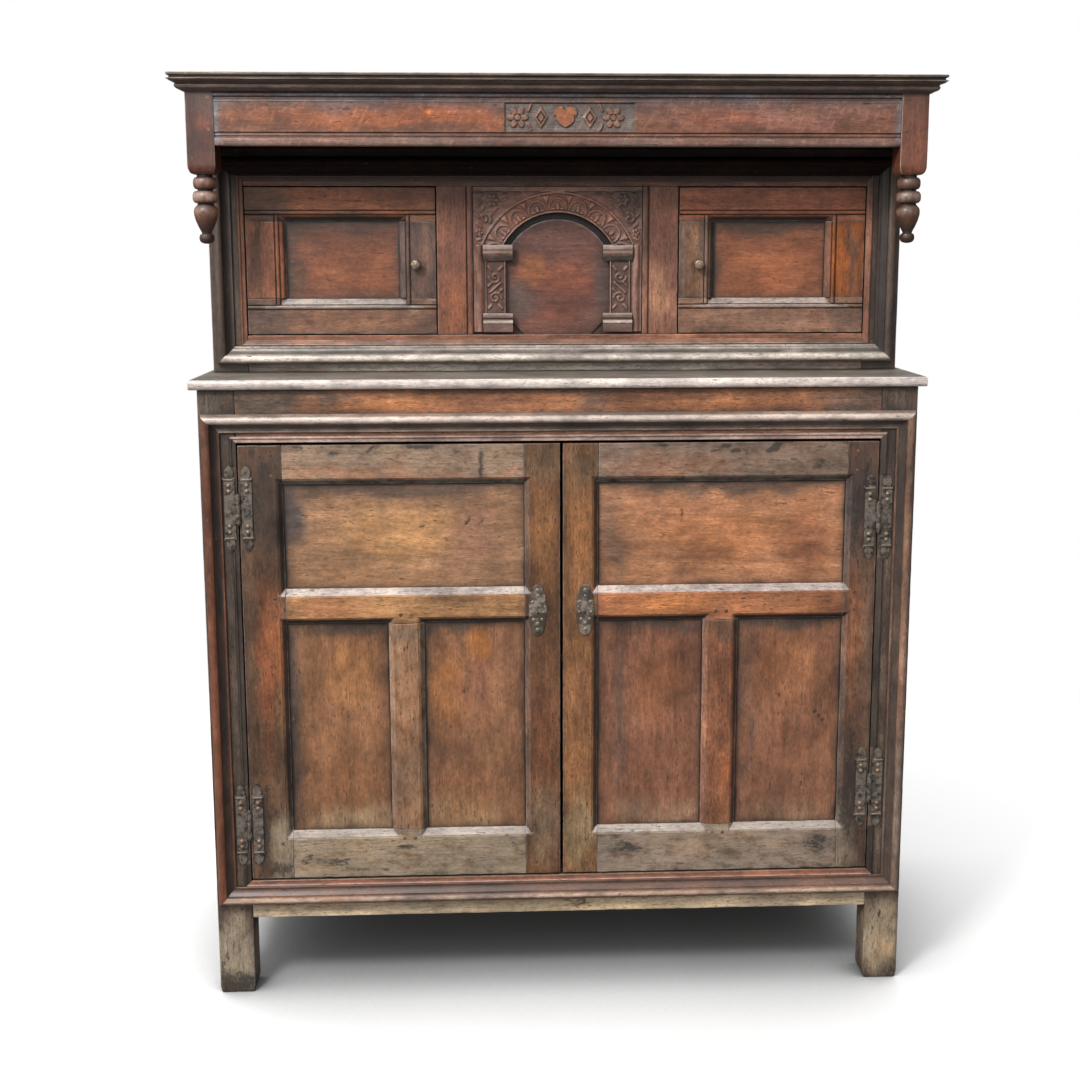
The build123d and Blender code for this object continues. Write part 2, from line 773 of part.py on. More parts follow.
def upper_carcass():
    front = (y_upper, y_upper + rail_thickness)
    arch_opening = ((-muntin_inner, muntin_inner), (z_upper_open, z_upper_head))
    rail_z = ((z_deck, z_upper_open), (z_upper_head, z_upper_head + upper_top_rail_height))
    rails = [[(-open_half, open_half), front, z] for z in rail_z]
    rail_tenons = [t for r in rails for t in tenons(r, 0, 1, tenon_length)]
    muntin_y = (y_upper, y_upper + muntin_thickness)
    muntin_outer = muntin_inner + muntin_width
    muntins = [[across(s, muntin_inner, muntin_outer), muntin_y, arch_opening[1]] for s in (-1, 1)]
    muntin_tenons = [t for m in muntins for t in tenons(m, 2, 1, tenon_length / 2)]
    side_y = (y_upper + upper_stile_depth, y_rear_stile)
    side_z = [(z_deck, z_upper_open), (z_top - upper_top_rail_height, z_top)]
    side_boxes = [[across(s, side_inner, half), side_y, z] for s in (-1, 1) for z in side_z]
    side_tenons = [t for b in side_boxes for t in tenons(b, 1, 0, side_tenon_length)]
    back_y = (y_back - back_board_thickness - back_rail_thickness, y_back - back_board_thickness)
    back_rails = [[(-rear_inner, rear_inner), back_y, z] for z in side_z]
    back_tenons = [t for r in back_rails for t in tenons(r, 0, 1, side_tenon_length)]
    thick = (side_panel_near, side_panel_near + side_panel_thickness)
    panel_z = (z_upper_open, side_z[1][0])
    panels = [panel_in("side", side_y, panel_z, across(s, *thick), joint_gap) for s in (-1, 1)]
    slots = [slot for _, slot in panels]
    board_y = (y_upper + arch_board_setback, y_upper + arch_board_setback + arch_board_thickness)
    arch_board, arch_slot = panel_in("front", *arch_opening, board_y, joint_gap)
    places = [p for r in rails for p in rail_peg_places(r, peg_inset)]
    stile_y = (y_upper, y_upper + upper_stile_depth)
    pegs, holes = pegs_at(places, peg_radius, (y_upper, stile_y[1] - peg_inset / 2))
    frieze_tenons = [t for b in side_frieze_boxes() for t in tenons(b, 1, 0, side_tenon_length / 2)]
    soffit_slot_z = (soffit_z[0] - joint_gap, soffit_z[1] + joint_gap)
    soffit_slot = solid([(-open_half, open_half), (y_upper - cut_over, y_upper + groove_depth), soffit_slot_z])
    sockets, bores = [], []
    for s in (-1, 1):
        for z, way in ((z_upper_open, -1), (z_upper_head, 1)):
            span = tuple(sorted((z + way * pivot_length, z - way * (door_gap + pivot_length))))
            bore_span = (span[0] - peg_gap, span[1] + peg_gap)
            sockets.append(rod_z(s * pivot_x, pivot_y, pivot_radius, span))
            bores.append(rod_z(s * pivot_x, pivot_y, pivot_radius + peg_gap, bore_span))
    height = (z_deck, z_top)
    rear_boxes = [[across(s, rear_inner, half), (y_rear_stile, y_back), height] for s in (-1, 1)]
    stile_tenons = rail_tenons + side_tenons + frieze_tenons
    stiles = [mortised(solid(b), stile_tenons) - slots - holes for b in upper_stile_boxes()]
    rear = [mortised(solid(b), side_tenons + back_tenons) - slots for b in rear_boxes]
    rail_cuts = holes + bores + [arch_slot, soffit_slot]
    front_rails = [mortised(joined(r, tenons(r, 0, 1, tenon_length)), muntin_tenons) - rail_cuts for r in rails]
    back_spans = boards((-rear_inner, rear_inner), back_board_count)
    back = [solid([x, (back_y[1], y_back), height]) for x in back_spans]

    ridge_x = (-half + upper_ridge_side, half - upper_ridge_side)
    ridge_z = (z_deck + upper_ridge_rise, z_upper_head + upper_bottom_rail_height - upper_ridge_rise)
    moulding = mitred_frame(ridge_x, ridge_z, y_upper, ridge_profile(), ridge_width, ridge_proud)
    bead_x = (-open_half - bead_width, open_half + bead_width)
    bead_z = (z_upper_open - upper_bead_rise - bead_width, z_upper_head + upper_bead_rise + bead_width)
    moulding += mitred_frame(bead_x, bead_z, y_upper, bead_profile(), bead_width, bead_proud)
    return {
        "upper_front_stiles": stiles,
        "upper_rear_stiles": rear,
        "upper_front_rails": front_rails,
        "upper_muntins": [joined(m, tenons(m, 2, 1, tenon_length / 2)) - [arch_slot] for m in muntins],
        "upper_side_rails": [joined(b, tenons(b, 1, 0, side_tenon_length)) - slots for b in side_boxes],
        "upper_side_panels": [panel for panel, _ in panels],
        "upper_back_rails": [joined(r, tenons(r, 0, 1, side_tenon_length)) for r in back_rails],
        "upper_back_boards": back,
        "upper_opening_moulding": moulding,
        "upper_door_pivots": sockets,
        "arch_panel": [arch_board],
        "arch_facade": arch_facade(),
    }, pegs


def arch_facade():
    # planted arcade in front of the arch panel: a head cut to the arch and two pilasters
    y_front = y_upper + facade_setback
    thick = (y_front, y_upper + arch_board_setback)
    foot = z_upper_open + facade_foot
    head = z_upper_head - facade_head_gap
    spring = z_upper_open + arch_spring_rise
    drop = (arch_radius**2 - arch_half_width**2) ** 0.5
    w = facade_half_width
    board = solid([(-w, w), thick, (spring, head)])
    ring_x = arch_half_width + archivolt_width
    centre = Pos(0, spring - drop)
    disc = centre * Circle(arch_radius + archivolt_width)
    band_y = (y_front - archivolt_proud, y_front + cut_over)
    band = front_plate(disc, band_y) & solid([(-ring_x, ring_x), band_y, (spring, head - facade_strip)])
    arch_cut = front_plate(centre * Circle(arch_radius), (band_y[0] - cut_over, thick[1] + cut_over))
    pieces = [board + band - arch_cut]
    cap_foot = spring - capital_height
    cap_middle = spring - capital_height / 2
    for s in (-1, 1):
        slab = solid([across(s, pilaster_inner, w), thick, (foot, spring)])
        blocks = (
            (pilaster_inner, pilaster_outer, pilaster_proud, foot + plinth_height, cap_foot),
            ((capital_inner + pilaster_inner) / 2, capital_outer, neck_proud, cap_foot, cap_middle),
            (capital_inner, capital_outer, capital_proud, cap_middle, spring),
            (plinth_inner, plinth_outer, plinth_proud, foot, foot + plinth_height),
        )
        for near, far, proud, low, high in blocks:
            slab += solid([across(s, near, far), (y_front - proud, thick[1]), (low, high)])
        pieces.append(slab)
    return pieces


# ---- Upper doors ----


def upper_door(side):
    near = muntin_inner + muntin_width + door_gap
    edge = open_half - door_gap
    face = (y_upper, y_upper + door_thickness)
    z0 = z_upper_open + door_gap
    z1 = z_upper_head - door_gap
    low = z0 + upper_door_rail_bottom
    top = z1 - upper_door_rail_top
    full = across(side, near, edge)
    opening = across(side, near + upper_knob_stile, edge - upper_hinge_stile)
    rails = [[full, face, (z0, low)], [full, face, (top, z1)]]
    stiles = [[across(side, near, near + upper_knob_stile), face, (low, top)],
              [across(side, edge - upper_hinge_stile, edge), face, (low, top)]]
    tenon = (door_tenon_length, door_tenon_thickness)
    stile_tenons = [t for s in stiles for t in tenons(s, 2, 1, *tenon)]
    thick = (y_upper + panel_setback, y_upper + panel_setback + panel_thickness)
    panel, slot = panel_in("front", opening, (low, top), thick, joint_gap)
    # the hinge edge is rounded about the pivots so that it turns inside the opening
    over = (z0 - cut_over, z1 + cut_over)
    corner_x = across(side, edge - door_thickness / 2, edge + cut_over)
    corner = [corner_x, (y_upper - cut_over, pivot_y), over]
    turn = rod_z(side * pivot_x, pivot_y, door_thickness / 2 - pivot_round_gap / 2, over)
    pin_radius = pivot_radius + running_gap
    bore_reach = pivot_length + pivot_end_gap
    pin_bores = [rod_z(side * pivot_x, pivot_y, pin_radius, (z - bore_reach, z + bore_reach)) for z in (z0, z1)]
    knob_x = side * (near + knob_inset)
    through = (face[0] - cut_over, face[1] + cut_over)
    spindle_hole = rod_y(knob_x, z_knob, spindle_radius + running_gap, through)
    cuts = [slot, solid(corner) - turn, spindle_hole] + pin_bores + run_moulding(opening, (low, top), y_upper)
    return {
        "stiles": [joined(s, tenons(s, 2, 1, *tenon)) - cuts for s in stiles],
        "rails": [mortised(solid(r), stile_tenons) - cuts for r in rails],
        "panel": [panel],
        "knob": turned_knob(knob_x, face),
    }


def turned_knob(x, face):
    z = z_knob
    base = face[0] - latch_gap
    r = knob_radius
    axis_plane = Plane(origin=(x, base, z), x_dir=(1, 0, 0), z_dir=(0, 0, -1))
    # local y runs from the door face outward
    half_section = profile(
        (0, 0),
        (r * 0.8, 0),
        (r * 0.8, knob_reach * 0.12),
        (r * 0.45, knob_reach * 0.2),
        (r * 0.45, knob_reach * 0.4),
        (r, knob_reach * 0.68, r * 0.5, knob_reach * 0.95),
        (0, knob_reach),
    )
    knob = revolve(axis_plane * half_section, Axis((x, base, z), (0, -1, 0)))
    back = face[1] + latch_gap
    bar_y = (back, back + latch_thickness)
    knob += rod_y(x, z, spindle_radius, (base - cut_over, bar_y[1]))
    bar = [(x - latch_width / 2, x + latch_width / 2), bar_y, (z - latch_length, z + latch_tail)]
    bore = rod_y(x, z, spindle_radius, (bar_y[0] - cut_over, bar_y[1] + cut_over))
    return [knob, solid(bar) - bore]


# ---- Canopy ----


def drop_profile(z):
    # half section of a turned drop, downward from the post's end
    neck = drop_neck_radius
    ring_low = z - drop_neck - drop_ring_height
    second = ring_low - drop_neck
    second_low = second - drop_ring_height
    vase = second_low - drop_neck
    shoulder = vase - drop_vase_height * 0.24
    vase_low = vase - drop_vase_height
    button = vase_low - drop_neck / 2
    button_low = button - drop_button_height
    return profile(
        (0, z + post_end_round),
        (neck, z + post_end_round),
        (neck, z - drop_neck),
        (drop_ring_radius, z - drop_neck - drop_ring_height / 2, neck, ring_low),
        (neck, second),
        (drop_ring_radius + 1.5, second - drop_ring_height / 2, neck, second_low),
        (neck, vase),
        (drop_vase_radius - 1.5, vase - drop_vase_height * 0.1, drop_vase_radius, shoulder),
        (drop_vase_radius * 0.8, shoulder - drop_vase_height * 0.3, drop_tip_radius, vase_low),
        (drop_tip_radius, button),
        (drop_button_radius, button - drop_button_height / 2, drop_tip_radius * 0.7, button_low),
        (0, button_low),
    )


def canopy():
    front_rail = [(-post_inner, post_inner), (y_face, y_face + frieze_thickness), (z_frieze, z_top)]
    rail_tenons = tenons(front_rail, 0, 1, tenon_length * 0.6)
    sides = side_frieze_boxes()
    side_tenons = [t for b in sides for t in tenons(b, 1, 0, side_tenon_length / 2)]
    soffit_y = (y_face + frieze_thickness - groove_depth, y_upper + groove_depth)
    soffit_slot = solid(grown([(-side_inner, side_inner), soffit_y, soffit_z], joint_gap))
    post_y = (y_face, y_face + post_size)
    places = rail_peg_places(front_rail, peg_inset / 2)
    pegs, holes = pegs_at(places, peg_radius, (y_face, post_y[1] - peg_inset / 2))
    post_low = z_frieze - post_drop
    posts, post_boxes = [], []
    for s in (-1, 1):
        box = [across(s, post_inner, half), post_y, (post_low, z_top)]
        post_boxes.append(box)
        blank = solid(box)
        blank = chamfer(blank.faces().sort_by(Axis.Z)[0].edges(), post_end_round * 0.7)
        centre = (s * (half - post_size / 2), y_face + post_size / 2)
        plane = Plane(origin=(*centre, 0), x_dir=(1, 0, 0), z_dir=(0, -1, 0))
        turned = revolve(plane * drop_profile(post_low), Axis((*centre, 0), (0, 0, 1)))
        posts.append(mortised(blank + turned, rail_tenons + side_tenons) - holes)
    corner_gaps = [solid(grown(b, joint_gap)) for b in post_boxes + upper_stile_boxes()]
    soffit = [solid([(-side_inner, side_inner), y, soffit_z]) - corner_gaps for y in boards(soffit_y, 2)]

    lid_x = (-half - cornice_overhang_side, half + cornice_overhang_side)
    lid_y = (y_face - cornice_overhang_front, y_back)
    lid = [solid([lid_x, y, (z_top, z_top + top_board_thickness)]) for y in boards(lid_y, top_board_count)]
    return {
        "canopy_posts": posts,
        "frieze_rail": [frieze_rail(front_rail, rail_tenons) - holes - [soffit_slot]],
        "side_friezes": [joined(b, tenons(b, 1, 0, side_tenon_length / 2)) for b in sides],
        "soffit_boards": soffit,
        "top_boards": lid,
        "cornice_moulding": cornice(),
    }, pegs


def frieze_rail(box, rail_tenons):
    # moulded along both edges, with a sunk tablet that holds a raised heart
    (x0, x1), (y0, y1), (z0, z1) = box
    field = 3.0
    edge_round = 8.0
    hollow = 10.0
    edge_top = z0 + 2 * edge_round
    field_low = edge_top + hollow
    field_high = z1 - cornice_height - 1.5 * edge_round
    section = profile(
        (0, z0),
        (field, z0),
        (0, z0 + edge_round, field, edge_top),
        (2 * field, (edge_top + field_low) / 2, field, field_low),
        (field, field_high),
        (0, field_high + edge_round),
        (0, z1),
        (y1 - y0, z1),
        (y1 - y0, z0),
    )
    plane = Plane(origin=(x0, y0, 0), x_dir=(0, 1, 0), z_dir=(1, 0, 0))
    rail = extrude(plane * section, x1 - x0) + [solid(t) for t in rail_tenons]
    low = z0 + tablet_rise
    floor = y0 + field + tablet_depth
    tablet = [(tablet_offset - tablet_width / 2, tablet_offset + tablet_width / 2), (y0 - 1, floor),
              (low, low + tablet_height)]
    rail -= solid(tablet)
    middle = low + tablet_height / 2
    lobe = heart_size / 4
    tip = (tablet_offset, middle - heart_size * 0.55)
    heart = profile(
        tip,
        (tablet_offset + lobe * 2.1, middle + lobe * 0.6),
        (tablet_offset + lobe * 1.3, middle + lobe * 2.0, tablet_offset, middle + lobe),
        (tablet_offset - lobe * 1.3, middle + lobe * 2.0, tablet_offset - lobe * 2.1, middle + lobe * 0.6),
    )
    return rail + front_plate(heart, (y0 + field + 0.5, floor + 1))


def cornice():
    reach = cornice_projection
    rise = cornice_height
    # p is how far the moulding stands out, q its height
    face = profile(
        (0, 0),
        (reach * 0.18, 0),
        (reach * 0.18, rise * 0.1),
        (reach * 0.5, rise * 0.18, reach * 0.58, rise * 0.5),
        (reach * 0.7, rise * 0.5),
        (reach * 0.74, rise * 0.86, reach, rise * 0.9),
        (reach, rise),
        (0, rise),
    )
    z = z_top - rise
    out_x = half + reach
    out_y = y_face - reach

    def mitred(plane, length, corners):
        ground = Pos(0, 0, z - cut_over) * make_face(Polyline(*corners, close=True))
        return extrude(plane * face, length) & extrude(ground, rise + 2 * cut_over)

    front_plane = Plane(origin=(out_x, y_face, z), x_dir=(0, -1, 0), z_dir=(-1, 0, 0))
    front = mitred(front_plane, 2 * out_x, ((-half, y_face), (half, y_face), (out_x, out_y), (-out_x, out_y)))
    left_plane = Plane(origin=(-half, out_y, z), x_dir=(-1, 0, 0), z_dir=(0, 1, 0))
    corner = ((-half, y_face), (-half, y_back), (-out_x, y_back), (-out_x, out_y))
    left = mitred(left_plane, y_back - out_y, corner)
    return [front, left, mirror(left, about=Plane.YZ)]


# ---- Everything together ----


def build():
    parts = {}
    left = hinge_set(-1, (z_open + left_hinge_foot, z_head - left_hinge_head))
    right = hinge_set(1, (z_open + right_hinge_foot, z_head - right_hinge_head))
    frame_holes, housings = [left[key] + right[key] for key in ("frame_holes", "housings")]
    carcass, pegs = lower_carcass(frame_holes, housings)
    parts.update(carcass)
    upper, upper_pegs = upper_carcass()
    parts.update(upper)
    crown, canopy_pegs = canopy()
    parts.update(crown)
    for piece in ("back_rails", "back_boards", "side_panels"):
        parts[piece] = parts.pop(f"lower_{piece}") + parts.pop(f"upper_{piece}")
    parts["frame_pegs"] = pegs + upper_pegs + canopy_pegs
    parts["hinge_frame_leaves"] = left["frame_leaves"] + right["frame_leaves"]
    parts["hinge_pins"] = left["pins"] + right["pins"]
    sets = (("left", -1, left_hinge_stile, left), ("right", 1, right_hinge_stile, right))
    for name, side, stile, hinges in sets:
        plate, plate_holes = escutcheon(side)
        for piece, solids in lower_door(side, stile, hinges["door_holes"] + plate_holes).items():
            parts[f"{name}_door_{piece}"] = solids
        parts[f"{name}_door_hinge_leaves"] = hinges["door_leaves"]
        parts[f"{name}_door_escutcheon"] = plate
        for piece, solids in upper_door(side).items():
            parts[f"{name}_upper_door_{piece}"] = solids
    parts["lock_case"], parts["lock_bolt"], parts["lock_keep"] = lock_parts()
    parts["slip_bolt"], parts["slip_bolt_staples"] = slip_bolt_parts()
    return parts


os.makedirs("parts", exist_ok=True)
for node, solids in build().items():
    group = [part for shape in solids for part in shape.solids()]
    export_step(group[0] if len(group) == 1 else Compound(children=group), f"parts/{node}.step")
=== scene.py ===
import math
import random
from functools import partial
from types import SimpleNamespace

import bmesh
import bpy
import numpy as np
from mathutils import Euler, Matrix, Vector


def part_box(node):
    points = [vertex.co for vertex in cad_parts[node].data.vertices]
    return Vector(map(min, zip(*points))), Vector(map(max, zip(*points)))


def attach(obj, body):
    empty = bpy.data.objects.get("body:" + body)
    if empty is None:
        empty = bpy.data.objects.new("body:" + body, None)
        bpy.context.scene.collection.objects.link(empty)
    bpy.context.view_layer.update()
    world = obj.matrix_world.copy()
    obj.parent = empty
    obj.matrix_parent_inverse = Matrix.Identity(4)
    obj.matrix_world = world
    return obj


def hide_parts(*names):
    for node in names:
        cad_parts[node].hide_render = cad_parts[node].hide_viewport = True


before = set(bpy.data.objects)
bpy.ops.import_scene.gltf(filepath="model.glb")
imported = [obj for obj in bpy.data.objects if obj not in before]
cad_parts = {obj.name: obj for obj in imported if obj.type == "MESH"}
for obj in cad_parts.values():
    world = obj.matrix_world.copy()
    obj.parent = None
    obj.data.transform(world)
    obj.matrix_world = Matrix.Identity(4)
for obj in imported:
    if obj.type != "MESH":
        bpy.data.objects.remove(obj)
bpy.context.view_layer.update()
print("frame loaded")

mm = 0.001
scene = bpy.context.scene
scene.view_settings.view_transform = "Standard"
chance = random.Random(1718)


def solidBoxes(node):
    # lowest and highest corner of every separate solid of a node, ordered by height, then from the left
    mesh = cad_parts[node].data
    points = np.zeros(len(mesh.vertices) * 3, np.float32)
    mesh.vertices.foreach_get("co", points)
    points = points.reshape(-1, 3).astype(float)
    _, same = np.unique(np.round(points / (0.01 * mm)).astype(np.int64), axis=0, return_inverse=True)
    same = same.ravel()
    leader = list(range(int(same.max()) + 1))

    def root(i):
        while leader[i] != i:
            leader[i] = leader[leader[i]]
            i = leader[i]
        return i

    for face in mesh.polygons:
        first, *rest = [root(same[v]) for v in face.vertices]
        for other in rest:
            leader[root(other)] = root(first)
    owner = np.array([root(i) for i in same])
    found = [(points[owner == r].min(0), points[owner == r].max(0)) for r in np.unique(owner)]
    return sorted(found, key=lambda box: (round(box[0][2], 2), round(box[0][0], 3), round(box[0][1], 3)))


def trimmed(boxes, axis, amount):
    # the same boxes without what is hidden in the joints at both ends
    made = []
    for low, high in boxes:
        low, high = low.copy(), high.copy()
        low[axis] += amount
        high[axis] -= amount
        made.append((low, high))
    return made


tenons = {"frontRail": 42 * mm, "sideRail": 26 * mm, "door": 34 * mm, "muntin": 21 * mm, "frieze": 25.2 * mm,
          "sideFrieze": 13 * mm, "panel": 6.2 * mm}


def linear(colour):
    values = np.array(colour, float) / 255
    return np.where(values <= 0.04045, values / 12.92, ((values + 0.055) / 1.055) ** 2.4)


def smoothNoise(points, size, seed=0):
    # soft noise from 0 to 1 in blobs about size metres wide
    p = points / size + seed * 17.31
    cell = np.floor(p)
    f = p - cell
    f = f * f * (3 - 2 * f)
    total = np.zeros(len(points))
    for corner in np.ndindex(2, 2, 2):
        spun = np.sin((cell + corner) @ np.array([127.1, 311.7, 74.7])) * 43758.5453
        weight = np.prod(np.where(corner, f, 1 - f), axis=1)
        total += (spun - np.floor(spun)) * weight
    return total


def spot(points, x, z, wide, tall):
    # 1 inside a soft patch on the front, 0 well outside it; millimetres
    across = (points[:, 0] / mm - x) / wide
    up = (points[:, 2] / mm - z) / tall
    return np.exp(-((across ** 2 + up ** 2) ** 2))


def borderWeight(points, box, reach):
    # 1 at the left, right, bottom and top edges of a face, falling off over their reaches; millimetres
    total = np.zeros(len(points))
    sides = ((0, box[0], 1), (0, box[1], -1), (2, box[2], 1), (2, box[3], -1))
    for (axis, edge, sign), size in zip(sides, reach):
        if size:
            away = np.maximum((points[:, axis] - edge) * sign, 0) / (size * mm)
            total = np.maximum(total, np.exp(-away ** 1.3))
    return total


rubbedHighlightColour = (173, 168, 168)  # painted highlight on sills, the deck's nose and edges that face the light, over rubbed and bleached wood


def wood(base, vary=0.4, **more):
    # the look of one board or plate; patches are (x, z, half width, half height, colour, strength), the spots
    # of dirt, rub and bleach the same without a colour, borders (colour, strength, reach at each edge)
    return {"base": base, "vary": vary, **more}


def blend(tone, colour, weight):
    # lays a colour over the first three channels, as far as the weight says at each point
    tone[:, :3] = tone[:, :3] * (1 - weight[:, None]) + linear(colour) * weight[:, None]


def painted(points, edge, look, seed, box=None):
    # colour, and masks of dirt, rubbed wood, bleached wood and worn edges
    warp = np.stack([smoothNoise(points, 0.035, seed + k) for k in (1, 2, 3)], 1) - 0.5
    place = points + warp * 0.03
    tone = np.tile(linear(look["base"]), (len(points), 1))
    drift = smoothNoise(points, 0.11, seed + 4) + 0.6 * smoothNoise(points, 0.03, seed + 5) - 0.8
    tone *= (1 + look["vary"] * drift)[:, None]
    for *patch, colour, strength in look.get("patches", ()):
        blend(tone, colour, strength * spot(place, *patch))
    for colour, strength, *reach in look.get("borders", ()) if box is not None else ():
        uneven = strength * (0.55 + 0.9 * smoothNoise(points, 0.04, seed + 6))
        near = borderWeight(points + warp * 0.4 * mm * max(reach), box, reach)
        blend(tone, colour, np.clip(uneven * near, 0, 1))
    mask = np.zeros((len(points), 4))
    for channel, key in enumerate(("dirt", "rub", "bleach")):
        mask[:, channel] = look.get(key, 0)
        for *patch, strength in look.get(key + "Spots", ()):
            mask[:, channel] += strength * spot(place, *patch)
    # the worn highlight: edges and proud parts lightened, part wear and part painted highlight
    mask[:, 3] = edge * look.get("worn", 1)
    return tone, np.clip(mask, 0, 1)


def newShape():
    return {"points": [], "faces": [], "grain": [], "tone": [], "mask": [], "total": 0}


def addTo(shape, points, faces, edge, look, grainAxis=0, seed=None, box=None):
    # faces are lists of point numbers; the grain runs along grainAxis, a little askew in each board
    seed = chance.random() * 90 if seed is None else seed
    tone, mask = painted(points, edge, look, seed, box)
    lean = chance.uniform(-0.025, 0.025)
    order = [grainAxis] + [k for k in (0, 2, 1) if k != grainAxis]
    grain = points[:, order]
    grain = np.stack([grain[:, 0] - lean * grain[:, 1], grain[:, 1] + lean * grain[:, 0], grain[:, 2]], 1)
    grain += [chance.uniform(-9, 9), chance.uniform(-9, 9), chance.uniform(-9, 9)]
    start = shape["total"]
    shape["points"].append(points)
    shape["faces"] += [[v + start for v in face] for face in faces]
    shape["grain"].append(grain)
    shape["tone"].append(np.concatenate([tone, np.ones((len(tone), 1))], 1))
    shape["mask"].append(mask)
    shape["total"] += len(points)


def makePiece(name, shape, material, body, nodes=(), crease=42):
    mesh = bpy.data.meshes.new(name)
    mesh.from_pydata(np.concatenate(shape["points"]).tolist(), [], shape["faces"])
    for key, kind, field in (("grain", "FLOAT_VECTOR", "vector"), ("tone", "FLOAT_COLOR", "color"),
                             ("mask", "FLOAT_COLOR", "color")):
        layer = mesh.attributes.new(key, kind, "POINT")
        layer.data.foreach_set(field, np.concatenate(shape[key]).astype(np.float32).ravel())
    tidy = bmesh.new()
    tidy.from_mesh(mesh)
    bmesh.ops.recalc_face_normals(tidy, faces=tidy.faces)
    tidy.to_mesh(mesh)
    tidy.free()
    mesh.shade_smooth()
    mesh.set_sharp_from_angle(angle=math.radians(crease))
    mesh.materials.append(material)
    piece = bpy.data.objects.new(name, mesh)
    scene.collection.objects.link(piece)
    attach(piece, body)
    if nodes:
        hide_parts(*nodes)
    return piece


def stations(low, high, rounding, step, marks=()):
    # places along one side of a board: close at the rounded ends, even between them, and at each mark
    span = high - low
    ends = [0, 0.42 * rounding, rounding]
    if span > 6 * rounding + 8 * mm:
        ends.append(rounding + 2.5 * mm)
    inner = span - 2 * ends[-1]
    middle = np.linspace(low + ends[-1], high - ends[-1], max(1, round(inner / step)) + 1)
    marks = sorted(m for m in marks if low + rounding < m < high - rounding)
    middle = [m for m in middle if all(abs(m - mark) > 0.9 * mm for mark in marks)]
    edges = [low + e for e in ends[:-1]] + [high - e for e in ends[:-1]]
    return np.array(sorted(set(np.round(edges + middle + marks, 7))))


def board(shape, box, grainAxis, look, rounding=1.8 * mm, step=12 * mm, wear=0.9 * mm, wave=0.35 * mm,
          carve=None, marks=((), (), ()), lines=None, shapeIt=None, hidden=(0, 0), shade=None):
    # a worn board with rounded edges; carve gives how deep its front is cut at each point, hidden how
    # much of its width and height lies in the grooves round it
    low, high = (np.array(corner, float) for corner in box)
    rounding = min(rounding, 0.45 * (high - low).min())
    places = [stations(low[k], high[k], rounding, step, marks[k]) for k in range(3)]
    if lines is not None:
        places = [places[k] if lines[k] is None else np.array(lines[k]) for k in range(3)]
    shown = (low[0] + hidden[0], high[0] - hidden[0], low[2] + hidden[1], high[2] - hidden[1])
    counts = [len(p) for p in places]
    corners = []
    frontQuads = 0
    for axis in (1, 0, 2):
        a, b = [k for k in range(3) if k != axis]
        i, j = np.meshgrid(range(counts[a] - 1), range(counts[b] - 1), indexing="ij")
        i, j = i.ravel(), j.ravel()
        for end in (0, counts[axis] - 1):
            quad = []
            for di, dj in ((0, 0), (1, 0), (1, 1), (0, 1)):
                index = np.zeros((len(i), 3), int)
                index[:, axis], index[:, a], index[:, b] = end, i + di, j + dj
                quad.append((index[:, 0] * counts[1] + index[:, 1]) * counts[2] + index[:, 2])
            quad = np.stack(quad, 1)
            if (end == 0) != (axis == 1):
                quad = quad[:, ::-1]
            if axis == 1 and end == 0:
                frontQuads = len(quad)
            corners.append(quad)
    quads = np.concatenate(corners)
    used, quads = np.unique(quads, return_inverse=True)
    quads = quads.reshape(-1, 4)
    index = np.stack([used // (counts[1] * counts[2]), used // counts[2] % counts[1], used % counts[2]], 1)
    flat = np.stack([places[k][index[:, k]] for k in range(3)], 1)
    core = np.clip(flat, low + rounding, high - rounding)
    out = flat - core
    reach = np.linalg.norm(out, axis=1)
    out /= reach[:, None]
    corner = 1 - np.abs(out).max(1)
    nearest = np.sort(np.minimum(flat - low, high - flat), axis=1)[:, 1]
    edge = np.exp(-nearest / (3 * mm))
    seed = chance.random() * 90
    dents = wear * np.clip(2.2 * smoothNoise(flat, 0.016, seed) - 0.7, 0, 1) * np.minimum(1, corner / 0.29)
    sink = wave * smoothNoise(flat, 0.05, seed + 9) * (corner < 0.01)
    points = core + out * (rounding - dents - sink)[:, None]
    if carve is not None:
        share = (high[1] - flat[:, 1]) / (high[1] - low[1])
        points[:, 1] += carve(flat) * share
    if shapeIt is not None:
        points = shapeIt(points)
    faces = quads.tolist()
    if carve is not None:
        y = points[quads[:frontQuads], 1]
        bent = np.abs(y[:, 0] + y[:, 2] - y[:, 1] - y[:, 3]) > 0.02 * mm
        split = []
        for quad, depth, isBent in zip(faces[:frontQuads], y, bent):
            if not isBent:
                split.append(quad)
            elif depth[0] + depth[2] > depth[1] + depth[3]:
                split += [[quad[0], quad[1], quad[2]], [quad[0], quad[2], quad[3]]]
            else:
                split += [[quad[1], quad[2], quad[3]], [quad[1], quad[3], quad[0]]]
        faces = split + faces[frontQuads:]
    addTo(shape, points, faces, edge, look, grainAxis, seed, shown)
    # shade gives a painted highlight, in the rubbed highlight colour, and a painted shade at each point
    if shade is not None:
        pale, dark = shade(flat)
        blend(shape["tone"][-1], rubbedHighlightColour, pale)
        shape["tone"][-1][:, :3] *= 1 - dark[:, None]


def gridFaces(rows, columns):
    return [[i * columns + j, (i + 1) * columns + j, (i + 1) * columns + j + 1, i * columns + j + 1]
            for i in range(rows - 1) for j in range(columns - 1)]


def tubeFaces(rows, sides):
    # a closed skin over rings of points, with its two ends
    ring = [(i, (i + 1) % sides) for i in range(sides)]
    faces = [[k * sides + i, k * sides + j, (k + 1) * sides + j, (k + 1) * sides + i]
             for k in range(rows - 1) for i, j in ring]
    return faces + [list(range(sides)), [(rows - 1) * sides + i for i in range(sides)]]


# carving in low relief: each of these gives heights from 0 to 1 at points x and z in millimetres

